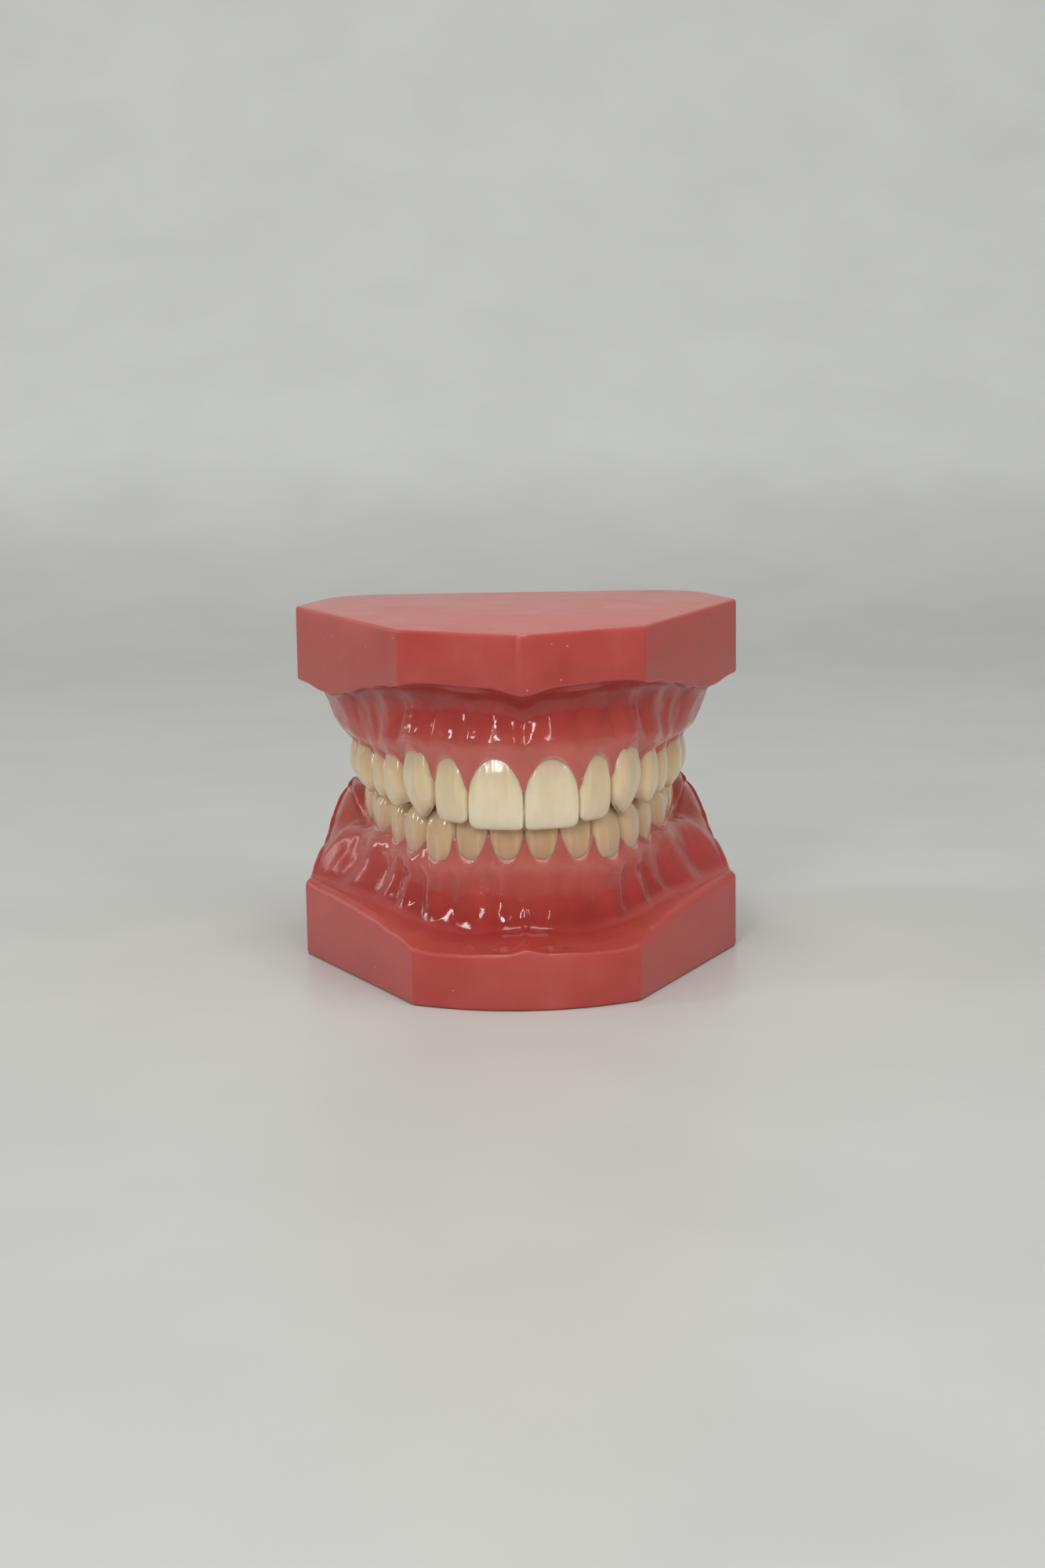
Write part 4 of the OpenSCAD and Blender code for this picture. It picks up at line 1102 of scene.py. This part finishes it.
bpy.ops.object.shade_smooth()
sweep.name = sweep.data.name = "table_sweep"
sweep.data.materials.append(sweep_paper)
print("sweep", len(sweep.data.polygons), "faces")

# %% [markdown]
# ## Light
# The photograph is lit by soft daylight from the front and the left, and the polished gum
# mirrors the windows as small bright shapes. Narrow lamps make those shapes. A wide lamp on
# the right and one overhead fill the shadows. The one on the right is kept out of
# reflections, because the gum on that side shows none.

# %% Lamps and view
ROOM_STRENGTH = 0.24
LAMPS = {  # place in metres, width and height in metres, watts
    "front_window": ((-0.25, -0.8, 0.5), (0.12, 0.24), 1.95),
    "low_strip": ((-0.4, -0.85, 0.28), (0.05, 0.2), 0.6),
    "right_strip": ((0.3, -0.85, 0.42), (0.05, 0.22), 0.5),
    "left_window": ((-0.8, -0.15, 0.45), (0.1, 0.26), 1.3),
    "back_window": ((-0.75, 0.45, 0.3), (0.07, 0.35), 0.5),
    "right_fill": ((0.75, -0.6, 0.5), (0.9, 0.9), 3.4),
    "overhead": ((0.0, -0.15, 0.9), (0.5, 0.5), 4.1),
}
bpy.context.scene.view_settings.view_transform = "Standard"
world = bpy.data.worlds.new("soft_room")
bpy.context.scene.world = world
world.use_nodes = True
background = world.node_tree.nodes["Background"]
background.inputs["Color"].default_value = linear("#F2F4F2")
background.inputs["Strength"].default_value = ROOM_STRENGTH


def soft_lamp(name, place, size, watts):
    """Rectangular area lamp that looks at the middle of the model."""
    bpy.ops.object.select_all(action="DESELECT")
    bpy.ops.object.light_add(type="AREA", location=place)
    lamp = bpy.context.object
    lamp.name = lamp.data.name = name
    lamp.data.shape = "RECTANGLE"
    lamp.data.size, lamp.data.size_y = size
    lamp.data.energy = watts
    target = Vector((0, 0, TOTAL_HEIGHT / 2 * MM))
    lamp.rotation_euler = (target - Vector(place)).to_track_quat("-Z", "Y").to_euler()
    return lamp


lamps = [soft_lamp(name, *values) for name, values in LAMPS.items()]
for lamp in lamps:
    lamp.visible_glossy = lamp.name != "right_fill"
print("lamps:", [lamp.name for lamp in lamps])
